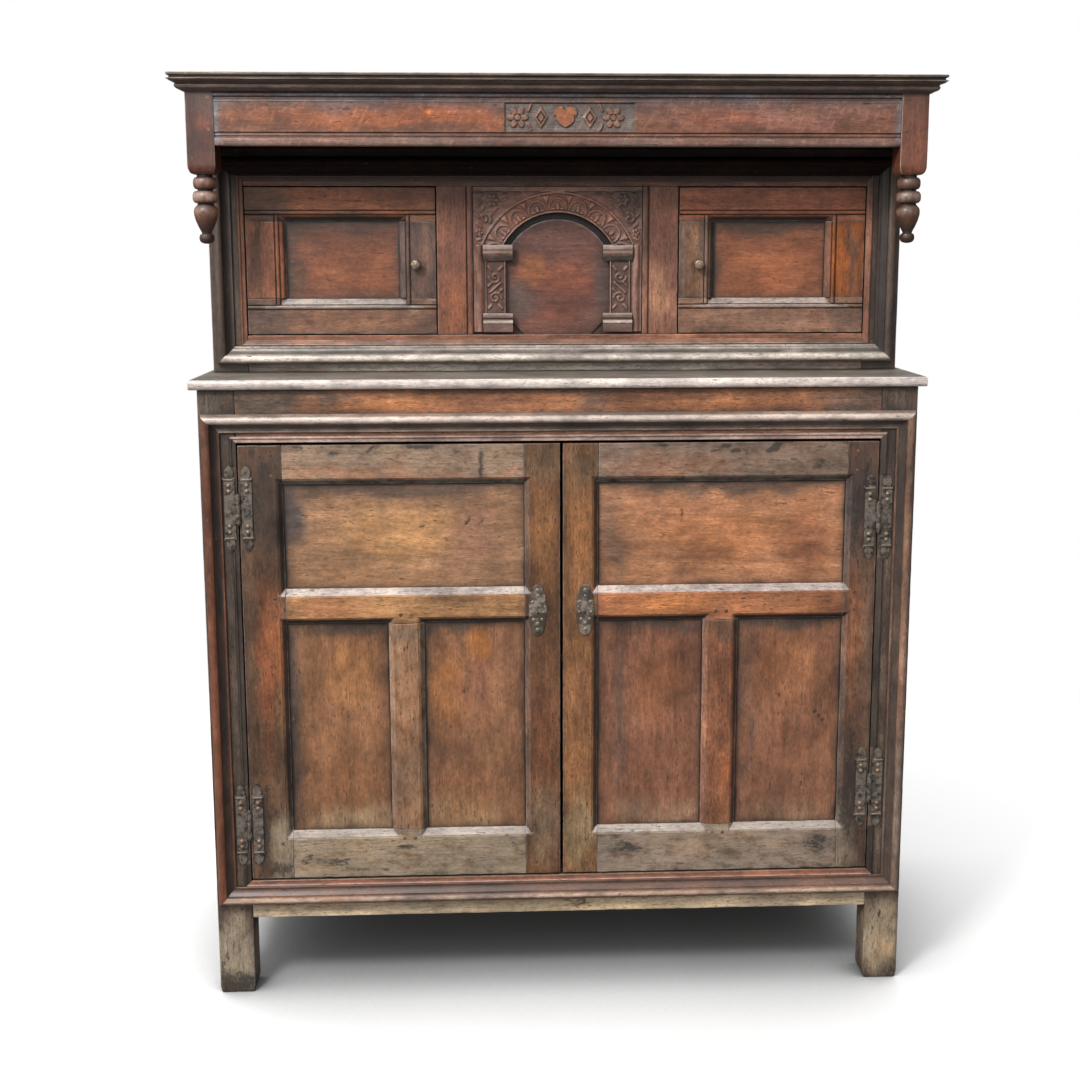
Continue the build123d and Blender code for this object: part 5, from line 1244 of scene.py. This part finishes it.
def hollowEdge(points):
    # the lid's edge: a square fillet over a hollow
    low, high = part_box("top_boards")
    rise = (points[:, 2] - low[2]) / (high[2] - low[2])
    cut = corniceSize["hollow"] * np.clip(np.sin(np.clip((rise - 0.12) / 0.5, 0, 1) * math.pi), 0, 1)
    made = points.copy()
    for axis, edge, sign in ((1, low[1], 1), (0, low[0], 1), (0, high[0], -1)):
        near = np.clip(1 - (points[:, axis] - edge) * sign / corniceSize["hollowReach"], 0, 1)
        made[:, axis] += sign * cut * near
    return made


def lid():
    shape = newShape()
    for low, high in solidBoxes("top_boards"):
        heights = low[2] + corniceSize["lidRises"]
        board(shape, (low, high), 0, canopyLooks["lid"], rounding=1.2 * mm, lines=(None, None, heights),
              shapeIt=hollowEdge)
    makePiece("top_wood", shape, oak["moulding"], "root", ["top_boards"])


def posts():
    shape = newShape()
    for low, high in solidBoxes("canopy_posts"):
        centre = (low + high) / 2

        def roundFoot(points):
            rise = np.clip((points[:, 2] - postSize["foot"]) / postSize["taper"], 0, 1)
            inset = postSize["inset"] * (1 - np.sqrt(1 - (1 - rise) ** 2))
            half = (high[0] - low[0]) / 2
            made = points.copy()
            for axis in (0, 1):
                made[:, axis] = centre[axis] + (points[:, axis] - centre[axis]) * (1 - inset / half)
            return made

        foot = postSize["foot"] + postSize["rises"]
        middle = np.arange(foot[-1] + 8 * mm, high[2] - 4 * mm, postSize["step"])
        heights = np.concatenate([foot, middle, high[2] - postSize["falls"]])
        square = (np.array([low[0], low[1], postSize["foot"]]), high)
        board(shape, square, 2, canopyLooks["post"], rounding=2 * mm, step=postSize["step"],
              lines=(None, None, heights), shapeIt=roundFoot)
        lathe(shape, centre, 2, scaled(dropProfile), canopyLooks["drop"], sides=40)
    makePiece("canopy_post_wood", shape, oak["moulding"], "root", ["canopy_posts"],
              crease=38)


friezeRun = [(1618, 3.0), (1619.2, 1.2), (1622, 0.1), (1626, 0), (1630, 0.5), (1632.6, 2.2), (1633.4, 4.2),
             (1634.8, 4.4), (1635.6, 3.0), (1637, 2.8), (1639, 4.4), (1641.6, 5.2), (1642.2, 2.2),
             (1694, 2.2), (1695, 1.4), (1698, 2.6), (1701, 5.0), (1703, 5.2), (1704, 1.8), (1706, 0.7),
             (1709, 1.0), (1710, 3.0), (1730, 3.0)]
tablet = {"x": 16, "width": 234, "z": (1642.6, 1693.6), "depth": 2.6, "dent": 0.9, "step": 1.15, "heart": 8,
          "heartSize": 19, "lozenge": (44, 14, 21), "flower": (86, 20, 6), "spray": ((62, 22), (66, 12))}


def tabletRelief(x, z):
    # a heart between lozenges and flowers, on a punched ground
    middle, centre = sum(tablet["z"]) / 2, tablet["heart"]
    parts = [heart(x, z, (centre, middle), tablet["heartSize"])]
    for side in (-1, 1):
        for form, (across, *size) in ((lozenge, tablet["lozenge"]), (flower, tablet["flower"])):
            parts.append(form(x, z, (centre + side * across, middle), *size))
        for rise in (-1, 1):
            spray = [(centre + side * u, middle + rise * v) for u, v in tablet["spray"]]
            parts.append(stroke(x, z, spray, 3.2))
    rim = np.minimum(tablet["width"] / 2 - np.abs(x - tablet["x"]),
                     0.5 * (tablet["z"][1] - tablet["z"][0]) - np.abs(z - middle))
    return np.maximum.reduce(parts), np.clip(rim / 1.2, 0, 1)


def friezeDepth(points):
    x, z = points[:, 0] / mm, points[:, 2] / mm
    run = np.array(friezeRun)
    depth = np.interp(z, run[:, 0], run[:, 1])
    motif, inside = tabletRelief(x, z)
    ground = tablet["depth"] + tablet["dent"] * punched(x, z, 4.2)
    return (depth + inside * (1 - motif) * ground) * mm


def frieze():
    (low, high), = trimmed(solidBoxes("frieze_rail"), 0, tenons["frieze"])
    half = tablet["width"] / 2 + 2
    fine = np.arange(tablet["x"] - half, tablet["x"] + half, tablet["step"]) * mm
    left = stations(low[0], fine[0] - 2 * mm, 1.5 * mm, 7 * mm)
    right = stations(fine[-1] + 2 * mm, high[0], 1.5 * mm, 7 * mm)
    heights = np.unique(np.concatenate([np.array(friezeRun)[:, 0], np.arange(1619, 1641, 0.9),
                                        np.arange(1642.7, 1693.7, tablet["step"]),
                                        np.arange(1696, 1704, 1.0)]))
    heights = heights[np.concatenate([[True], np.diff(heights) > 0.25])] * mm
    look = canopyLooks["frieze"]
    look["borders"] = [(look["grey"], 1.6, 7, 7, 0, 23), (look["rubbed"], 0.9, 0, 0, 11, 0)]
    shape = newShape()
    board(shape, (low, high), 0, look, rounding=0.8 * mm,
          lines=(np.concatenate([left, fine, right]), None, heights),
          carve=friezeDepth, wave=0.3 * mm, wear=0)
    x, z = shape["points"][0][:, 0] / mm, shape["points"][0][:, 2] / mm
    motif, inside = tabletRelief(x, z)
    # the recessed ground is painted darker than the raised motif, as its shade; the heart is worn reddish
    for part, weight in (("ground", inside * (1 - motif)), ("motif", inside * motif),
                         ("heart", heart(x, z, (tablet["heart"], 1668), 16))):
        blend(shape["tone"][0], look[part], 0.9 * weight)
    makePiece("frieze_wood", shape, oak["frieze"], "root", ["frieze_rail"], crease=50)


cornice()
lid()
posts()
frieze()
print("canopy made")

arch = {"face": 104, "foot": 1276, "spring": 1443, "centre": 1385.2, "radius": 119.8, "half": 162.8,
        "lunettes": 7, "shaftFrom": 101.5, "strip": 144.5, "cap": (87.4, 144.4), "head": 1553, "back": 92}
archLook = wood((152, 118, 108), 0.45, dirt=0.03, patches=[(0, 1530, 100, 20, (184, 132, 114), 0.85),
    (-80, 1500, 40, 26, (162, 114, 97), 0.8), (80, 1505, 40, 26, (158, 112, 97), 0.8),
    (-138, 1520, 30, 44, (112, 94, 88), 0.75), (138, 1520, 30, 44, (104, 88, 82), 0.75),
    (-120, 1380, 18, 60, (124, 84, 70), 0.6), (-151, 1410, 6, 150, (134, 88, 70), 0.85),
    (151, 1410, 6, 150, (112, 78, 66), 0.85)])
# highlight along the roll and painted shade in the groove above it
# on each capital, painted shade under the roll and a painted highlight on the top fillet; on each base, a
# painted
capLook = archLook | {"base": (108, 74, 62), "stripes": [(1, (46, 38, 34), 134, 147.5, 1),
                                                         (1, (150, 128, 116), 164, 168, 0.5)]}
baseLook = archLook | {"base": (92, 68, 60), "stripes": [(1, (200, 192, 186), 15.2, 22.6, 1.3),
                                                         (1, (44, 36, 33), 24, 29, 0.9)]}

# round the arch, by the distance from its edge: lunettes with a leaf in each and a dart between them
lunette = {"from": 4.5, "squeeze": 0.87, "rim": 18.2, "leaf": 14.5, "dart": (9, 25), "groove": (-1.6, 0.6),
           "border": (26.5, 30)}
archLimit = math.asin((arch["spring"] - arch["centre"]) / arch["radius"])

# small leaves that fill the corners round the flowers and scrolls
cornerLeaves = [(104, 1541, 90, 1544), (146, 1509, 141, 1515), (154, 1483, 147, 1477),
                (157, 1502, 151, 1496), (122, 1508, 116, 1514), (107, 1527, 98, 1531),
                (146, 1540, 154, 1532), (147, 1524, 156, 1518), (131, 1500, 124, 1503),
                (155, 1452, 148, 1455), (82, 1541, 72, 1541)]


def archRelief(x, z):
    reach = np.hypot(x, z - arch["centre"]) - arch["radius"]
    period = (math.pi - 2 * archLimit) / arch["lunettes"]
    width = period * (arch["radius"] + 20)
    turn = (np.arctan2(z - arch["centre"], x) - archLimit) / period
    s, t = (turn - np.floor(turn) - 0.5) * width, (reach - lunette["from"]) * lunette["squeeze"]
    rim = np.clip(1 - np.abs(np.hypot(s, t * 0.92) - lunette["rim"]) / 2.4, 0, 1) * 1.4
    petals = lunette["leaf"] * (0.30 + 0.70 * np.abs(np.cos(2.6 * np.arctan2(s, t + 3))) ** 1.2)
    leaf = np.clip((petals - np.hypot(s, t + 2)) / 1.2, 0, 1)
    dart = np.clip((0.42 * (t - lunette["dart"][0]) - np.abs(np.abs(s) - width / 2)) / 1.2, 0, 1)
    height = np.maximum.reduce([rim, leaf, dart * (t < lunette["dart"][1])])
    height = np.where(t < 0, 1, height)
    height = np.where((t > lunette["groove"][0]) & (t < lunette["groove"][1]), 0.1, height)
    height = np.where((t > lunette["border"][0]) & (t < lunette["border"][1]), 1, height)
    parts = []
    for side in (-1, 1):
        parts += [flower(x, z, (side * 126, 1528), 14, 6), flower(x, z, (side * 151, 1465), 8, 5),
                  spiral(x, z, (side * 139, 1493), (2, 11), 1.2, 0.6, side, 2.6)]
        parts += [stroke(x, z, [(side * ax, az), (side * bx, bz)], 3) for ax, az, bx, bz in cornerLeaves]
    top = arch["head"] - z
    corner = np.where(top < 9, 1, np.where(top < 11.5, 0, np.maximum.reduce(parts)))
    return np.clip(np.where(t >= lunette["border"][1], corner, height), 0, 1)


def reliefDepth(height, x, z, depth=3.0):
    return (depth + 0.5 * punched(x, z, 4.0)) * (1 - height)


def archSheet(shape):
    # the head of the arch: rows run from the arch's edge out to the straight sides
    edge = math.atan2(arch["spring"] - arch["centre"], arch["half"])
    share = np.linspace(0, 1, 250)
    inner = archLimit + (math.pi - 2 * archLimit) * share
    outer = edge + (math.pi - 2 * edge) * share
    rise = arch["head"] - arch["centre"]
    reach = np.minimum(arch["half"] / np.maximum(np.abs(np.cos(outer)), 1e-6), rise / np.sin(outer))
    start = arch["radius"] * np.stack([np.cos(inner), np.sin(inner)], 1)
    end = reach[:, None] * np.stack([np.cos(outer), np.sin(outer)], 1)
    steps = np.concatenate([[0, 0], np.linspace(0, 1, 56) ** 1.1, [1]])
    flat = start[:, None, :] + (end - start)[:, None, :] * steps[None, :, None]
    x, z = flat[..., 0].ravel(), flat[..., 1].ravel() + arch["centre"]
    height = archRelief(x, z)
    column = np.tile(np.arange(len(steps)), len(share))
    y = np.where((column == 0) | (column == len(steps) - 1), -arch["back"],
                 reliefDepth(height, x, z) - arch["face"])
    addTo(shape, np.stack([x, y, z], 1) * mm, gridFaces(len(share), len(steps)), 0.45 * height, archLook, 0)
    # painted shadow and shade: the arch's inner edge, turning back to the panel, near black, and the carved
    # ground darker than the relief
    shape["tone"][-1][:, :3] *= np.where(column <= 1, 0.06, 0.68 + 0.32 * height)[:, None]


shaft = {"centre": 121, "middle": 1361, "reach": 20, "halfWidth": 17, "z": (1308, 1414), "depth": 2.6,
         "ends": 141, "quirk": 4.5, "bead": 152, "beadRadius": 6.4}
# strokes at the middle of the shaft: two points from its centre, and the width
shaftStrokes = [(-10, 9, 10, -9, 3.2), (13, 3, 7, 9, 2.6), (-13, -3, -7, -9, 2.6)]


def shaftRelief(x, z):
    # two scrolls that meet in the middle, with small leaves
    across, up = x - shaft["centre"], z - shaft["middle"]
    parts = [stroke(across, up, [(ax, az), (bx, bz)], width) for ax, az, bx, bz, width in shaftStrokes]
    for end in (-1, 1):
        parts.append(spiral(across, up, (0, end * shaft["reach"]), (2, 12), 1.25, -end * 1.57, 1, 2.5))
        parts += [stroke(across, up, [(lean * 13, end * 40), (lean * 8, end * 34)], 3) for lean in (-1, 1)]
    rim = np.minimum(shaft["halfWidth"] - np.abs(across), np.minimum(shaft["z"][1] - z, z - shaft["z"][0]))
    return np.where(rim < 0, 1, np.where(rim < 1.4, 0, np.maximum.reduce(parts)))


def shaftDepth(points):
    x, z = np.abs(points[:, 0]) / mm, points[:, 2] / mm
    depth = reliefDepth(shaftRelief(x, z), x, z, shaft["depth"])
    bead = 1.2 + 3 * (1 - np.sqrt(np.clip(1 - ((x - shaft["bead"]) / shaft["beadRadius"]) ** 2, 0, 1)))
    depth = np.where(x > arch["strip"], bead, depth)
    return np.where((x > shaft["ends"]) & (x <= arch["strip"]), shaft["quirk"], depth) * mm


# painted shade: the carved ground of each shaft darker than its relief, and the quirk beside the bead darker
# still
def shaftShade(points):
    x, z = np.abs(points[:, 0]) / mm, points[:, 2] / mm
    dark = np.where(x < shaft["ends"], 0.6 * (1 - shaftRelief(x, z)), 0.7 * (x <= arch["strip"]))
    return np.zeros(len(points)), dark


# mouldings of the pilasters: how proud they stand at each height
capProfile = [(0, 1412), (1.2, 1414), (1.8, 1418), (3.4, 1421), (4.4, 1422.4), (4.4, 1423.6), (6.4, 1425.2),
              (6.9, 1428), (6.4, 1430.8), (4.6, 1432.2), (4.6, 1433.2), (6.2, 1434), (6.2, 1441),
              (5.6, 1443), (0, 1443)]
baseProfile = [(0, 1276), (4.6, 1276), (4.8, 1290), (4.2, 1291.4), (6.2, 1292.6), (6.9, 1296), (6.2, 1299),
               (4.2, 1300.2), (4.0, 1301), (5.4, 1302.4), (5.4, 1305), (3.4, 1306.6), (1.4, 1309),
               (0.6, 1312), (0, 1312)]

fieldEdge = {"gap": 12.5, "slope": 1.6, "corner": 15, "foot": 4, "depth": 3.2}


def fieldRise(points):
    # how far inside the fielded part of the arch's panel a point lies, from the arch and from the cut corners
    x, z = np.minimum(np.abs(points[:, 0]) / mm, 110), points[:, 2] / mm
    over = arch["radius"] - fieldEdge["gap"] - np.hypot(x, z - arch["centre"])
    over = np.where(z > arch["spring"] - 40, over, 99)
    corner = (z - arch["foot"] - fieldEdge["foot"]) + (arch["cap"][0] + 1 - x) - fieldEdge["corner"]
    return over, np.where(x > arch["cap"][0] + 3, 99, corner)


def fieldDepth(points):
    over, corner = fieldRise(points)
    return np.clip(np.maximum(-over, -0.4 * corner) / fieldEdge["slope"], 0, 1) * fieldEdge["depth"] * mm


# and painted shade in the recess below the corners
# painted highlight along the raised edge of the field and its cut corners, painted shadow in the groove under
# the arch,
def fieldShade(points):
    over, corner = fieldRise(points)
    pale = np.maximum(0.45 * np.exp(-((over - 1) / 1.6) ** 2), 0.8 * np.exp(-((corner + 0.3) / 1.5) ** 2))
    return pale, np.maximum(0.97 * np.clip(-over / 2 - 0.2, 0, 1), 0.25 * (corner < -1.5))


def archFacade():
    shape = newShape()
    archSheet(shape)
    face, foot = -arch["face"] * mm, arch["foot"] * mm
    for side in (-1, 1):
        x0, x1 = sorted(side * arch[key] * mm for key in ("shaftFrom", "half"))
        first, last = sorted(side * u * mm for u in arch["cap"])
        low, high = np.array([x0, face, foot]), np.array([x1, -arch["back"] * mm, arch["spring"] * mm])
        lines = (np.linspace(x0, x1, 46), None, np.linspace(foot, high[2], 120))
        board(shape, (low, high), 2, archLook, rounding=0.8 * mm, carve=shaftDepth, wear=0, lines=lines,
              shade=shaftShade)
        for profile, look in ((capProfile, capLook), (baseProfile, baseLook)):
            section = scaled([(u, v - arch["foot"]) for u, v in profile])
            sweep(shape, (first, face, foot), (1, 0, 0), (0, -1, 0), (0, 0, 1), section, last - first, (0, 0),
                  look, 0, step=8 * mm)
    makePiece("arch_facade_wood", shape, oak["carved"], "root", ["arch_facade"], crease=60)


archLow, archHigh = solidBoxes("arch_panel")[0]
timber("arch_panel_wood", "arch_panel", 0, upperLooks["archPanel"], "oak_panel", "panel", rounding=0.8 * mm,
       carve=fieldDepth, shade=fieldShade, wave=0,
       lines=(np.linspace(archLow[0], archHigh[0], 190), None, np.linspace(archLow[2], archHigh[2], 165)))
archFacade()
print("arch made")

ironLook, nailLook, rustyLook = wood((92, 84, 76), 0.3), wood((142, 124, 106)), wood((150, 112, 84))
hingeSize = {"leafOver": 100 * mm, "nailUnder": 20 * mm, "nail": 4.4 * mm, "dome": 3.2 * mm,
             "proud": 3.0 * mm,
             "collar": 26 * mm, "collarWidth": 18 * mm, "collarHeight": 3 * mm, "collarDepth": 3.6 * mm,
             "rustyUnder": 0.5, "rustyShare": 0.5}


def collar(shape, x, z):
    # a raised bar across a leaf
    wide, tall = hingeSize["collarWidth"] / 2, hingeSize["collarHeight"] / 2
    outline = [(x - wide, z - tall), (x + wide, z - tall), (x + wide, z + tall), (x - wide, z + tall)]
    plate(shape, outline, faceY - 1.5 * mm, hingeSize["collarDepth"], 0.6 * mm, nailLook)


def hingeDetails(name, node, body):
    # nail heads on the leaves, and the raised collars near their ends
    boxes = solidBoxes(node)
    leaves = [box for box in boxes if box[1][2] - box[0][2] > hingeSize["leafOver"]]
    nails = [box for box in boxes if box[1][2] - box[0][2] < hingeSize["nailUnder"]]
    shape = newShape()
    for low, high in nails:
        x, z = (low[0] + high[0]) / 2, (low[2] + high[2]) / 2
        rusty = z < hingeSize["rustyUnder"] and chance.random() < hingeSize["rustyShare"]
        look = rustyLook if rusty else nailLook
        dome(shape, x, z, faceY - hingeSize["proud"], hingeSize["nail"], hingeSize["dome"], look)
    for low, high in leaves:
        x = next((a[0] + b[0]) / 2 for a, b in nails if low[0] <= a[0] and b[0] <= high[0])
        for z in (low[2] + hingeSize["collar"], high[2] - hingeSize["collar"]):
            collar(shape, x, z)
    makePiece(name, shape, iron, body, crease=45)


hingeDetails("hinge_frame_nails", "hinge_frame_leaves", "root")
for side in ("left", "right"):
    hingeDetails(side + "_door_hinge_nails", side + "_door_hinge_leaves", side + "_door")

# the plate's necks: depth, height on its half, and reach
escutcheonSize = {"wide": 17.2 * mm, "points": 72, "necks": ((0.20, 0.72, 0.10), (0.10, -0.70, 0.12))}


def escutcheonOutline(x, low, high):
    # a tall oval with a narrower scalloped crest and foot
    outline = []
    middle, half = (low + high) / 2, (high - low) / 2
    for k in range(escutcheonSize["points"]):
        angle = 2 * math.pi * k / escutcheonSize["points"]
        rise = math.sin(angle)
        neck = 1 - sum(depth * math.exp(-((rise - at) / reach) ** 2)
                       for depth, at, reach in escutcheonSize["necks"])
        wide = escutcheonSize["wide"] * neck * (1 + 0.035 * math.cos(9 * angle))
        aside = math.cos(angle)
        bulge = wide * aside * abs(aside) ** -0.18 if abs(aside) > 0.01 else 0
        outline.append((x + bulge, middle + half * rise))
    return outline


# raised dots on the plate: across and up from its middle, and their radius
bumps = [(0, 38, 5), (0, 27, 3), (-10, 16, 3.4), (10, 16, 3.4), (-11, -4, 3), (11, -4, 3), (-8, -18, 3.6),
         (8, -18, 3.6), (0, -26, 4), (0, -38, 4.4), (-13, 6, 2.4), (13, 6, 2.4)]


def escutcheon(side):
    node, body = side + "_door_escutcheon", side + "_door"
    low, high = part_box(node)
    x, middle = (low[0] + high[0]) / 2, (low[2] + high[2]) / 2
    shape = newShape()
    plate(shape, escutcheonOutline(x, low[2], high[2]), faceY + 1 * mm, 2.8 * mm, 1.2 * mm, ironLook)
    for across, rise, size in bumps:
        dome(shape, x + across * mm, middle + rise * mm, faceY - 1.5 * mm, size * mm, 1.6 * mm, nailLook)
    makePiece(side + "_escutcheon_plate", shape, iron, body, [node], crease=50)
    # the keyhole is a near-black plate laid on the escutcheon: the shade inside the hole, painted
    keyhole = newShape()
    outline = scaled([(-1.6, -8), (1.6, -8), (1.3, 0)] + arcPoints((0, 3), 3.1, -50, 230, 9) + [(-1.3, 0)])
    outline = [(x + u, middle + v) for u, v in outline]
    plate(keyhole, outline, faceY - 1.4 * mm, 0.7 * mm, 0.1 * mm, wood((12, 10, 9), 0))
    makePiece(side + "_keyhole", keyhole, iron, body)


for side in ("left", "right"):
    escutcheon(side)
print("ironwork made")

backLook = {"colour": (112, 90, 70), "level": (0.86, 1.12), "overlap": 1.2 * mm}


def backBoards():
    # the back's boards, their edges eased and drawn together so that no light shows between them
    boxes = sorted(solidBoxes("back_boards"), key=lambda box: (round(box[0][2], 1), box[0][0]))
    for first, second in zip(boxes, boxes[1:]):
        if 0 < second[0][0] - first[1][0] < 6 * mm:
            middle = (first[1][0] + second[0][0]) / 2
            first[1][0], second[0][0] = middle + backLook["overlap"], middle - backLook["overlap"]
    shape = newShape()
    for box in boxes:
        level = chance.uniform(*backLook["level"])
        look = wood([v * level for v in backLook["colour"]], 0.5, dirt=0.1)
        board(shape, box, 2, look, rounding=2.2 * mm, step=40 * mm)
    makePiece("back_board_wood", shape, oak["rough"], "root", ["back_boards"])


backBoards()


def keepNode(node, material, bevel=0.6 * mm):
    # a node that stays as it was built, with softened edges
    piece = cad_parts[node]
    piece.data.materials.clear()
    piece.data.materials.append(material)
    piece.modifiers.new("weld", "WELD").merge_threshold = 0.01 * mm
    soften = piece.modifiers.new("soften", "BEVEL")
    soften.width = bevel
    soften.segments = 2
    soften.limit_method = "ANGLE"
    soften.angle_limit = math.radians(35)


for material, nodes in (
        (oakMaterial("rough_oak_across", oakFinishes["rough"], (118, 92, 70)),
         "cupboard_floor_boards cupboard_shelf_boards back_rails floor_and_shelf_bearers"),
        (plainIron, "lock_bolt lock_case lock_keep slip_bolt slip_bolt_staples upper_door_pivots hinge_pins "
                    "hinge_frame_leaves left_door_hinge_leaves right_door_hinge_leaves"),
        (knobMetal, "left_upper_door_knob right_upper_door_knob")):
    for node in nodes.split():
        keepNode(node, material)
print("kept parts dressed")

view = {"place": (-0.1068, -2.6544, 1.4374), "down": 8.319, "turn": -2.297, "roll": 0.075, "lens": 43.663,
        "sensor": 36, "shift": (-0.0143, -0.0932)}
camera = bpy.data.objects.new("camera", bpy.data.cameras.new("camera"))
scene.collection.objects.link(camera)
camera.location = view["place"]
camera.rotation_euler = Euler((math.radians(90 - view["down"]), math.radians(view["roll"]),
                               math.radians(view["turn"])), "XYZ")
camera.data.lens = view["lens"]
camera.data.sensor_width = view["sensor"]
camera.data.shift_x, camera.data.shift_y = view["shift"]
scene.camera = camera


studio = {"floorColour": 0.84, "bounceColour": 0.14, "whiteFrom": 1.2, "whiteBy": 2.2, "horizon": 0.10,
          "zenith": 2.1, "below": 0.03, "side": (-0.42, -0.38, 0.82), "contact": 0.45, "dimmest": 0.215,
          "halfSize": 14}


def makeStage():
    # a pale floor that runs out into white, darkened round and under the cupboard by a painted contact
    # shadow; it throws less light back than it shows
    material, tree, surface, output = newMaterial("white_floor")
    t = toolsOf(tree)
    seen = addNode(tree, "ShaderNodeLightPath").outputs["Is Camera Ray"]
    # painted contact shadow: ambient occlusion darkens the floor that the camera sees
    near = addNode(tree, "ShaderNodeAmbientOcclusion", {"Distance": studio["contact"]},
                   samples=12).outputs["AO"]
    shown = t.scale([studio["floorColour"]] * 3, t.remap(near, 0.2, 0.93, studio["dimmest"], 1.0))
    colour = t.mix(seen, (*[studio["bounceColour"]] * 3, 1), shown)
    plug(tree, surface, {"Roughness": 0.8, "Specular IOR Level": 0.0, "Base Color": colour})
    place = addNode(tree, "ShaderNodeNewGeometry").outputs["Position"]
    far = t.remap(vectors(tree, "LENGTH", place, output=1), studio["whiteFrom"], studio["whiteBy"])
    white = addNode(tree, "ShaderNodeEmission", {"Color": (1, 1, 1, 1), "Strength": 1.0})
    shaders = {0: t.times(far, seen), 1: surface.outputs[0], 2: white.outputs[0]}
    plug(tree, output, {"Surface": addNode(tree, "ShaderNodeMixShader", shaders).outputs[0]})
    size = studio["halfSize"]
    mesh = bpy.data.meshes.new("studio_floor")
    mesh.from_pydata([(-size, -size, 0), (size, -size, 0), (size, size, 0), (-size, size, 0)], [],
                     [(0, 1, 2, 3)])
    mesh.materials.append(material)
    floor = bpy.data.objects.new("studio_floor", mesh)
    floor.location.z = -0.5 * mm
    scene.collection.objects.link(floor)


def makeWorld():
    # an overcast sky, brightest above and toward one side; the camera sees plain white
    world = bpy.data.worlds.new("studio")
    scene.world = world
    world.use_nodes = True
    tree = world.node_tree
    tree.nodes.clear()
    t = toolsOf(tree)
    rays = addNode(tree, "ShaderNodeLightPath").outputs
    seen = maths(tree, "MAXIMUM", rays["Is Camera Ray"], rays["Is Transmission Ray"])
    direction = addNode(tree, "ShaderNodeTexCoord").outputs["Generated"]
    toward = vectors(tree, "DOT_PRODUCT", direction, studio["side"], output=1)
    high = addNode(tree, "ShaderNodeSeparateXYZ", {0: direction}).outputs[2]
    level = t.times(t.remap(toward, 0.0, 1.0, studio["horizon"], studio["zenith"], smooth=False),
                    t.remap(high, -0.05, 0.1, studio["below"], 1.0))
    sky, white = (addNode(tree, "ShaderNodeBackground",
                          {"Color": (1, 1, 1, 1), "Strength": strength}).outputs[0]
                  for strength in (level, 1.0))
    mix = addNode(tree, "ShaderNodeMixShader", {0: seen, 1: sky, 2: white})
    addNode(tree, "ShaderNodeOutputWorld", {"Surface": mix.outputs[0]})


lamps = {"key": {"place": (-1.7, -2.5, 3.5), "size": 0.8, "power": 98},
         "back": {"place": (0.4, 2.4, 3.9), "size": 2.6, "power": 40}}
lampAim = Vector((0, 0, 0.85))


def makeLamps():
    for name, lamp in lamps.items():
        data = bpy.data.lights.new(name, "AREA")
        data.size = lamp["size"]
        data.energy = lamp["power"]
        made = bpy.data.objects.new(name, data)
        made.location = lamp["place"]
        made.rotation_euler = (lampAim - made.location).to_track_quat("-Z", "Y").to_euler()
        scene.collection.objects.link(made)


makeStage()
makeWorld()
makeLamps()
print("stage, light and camera made")
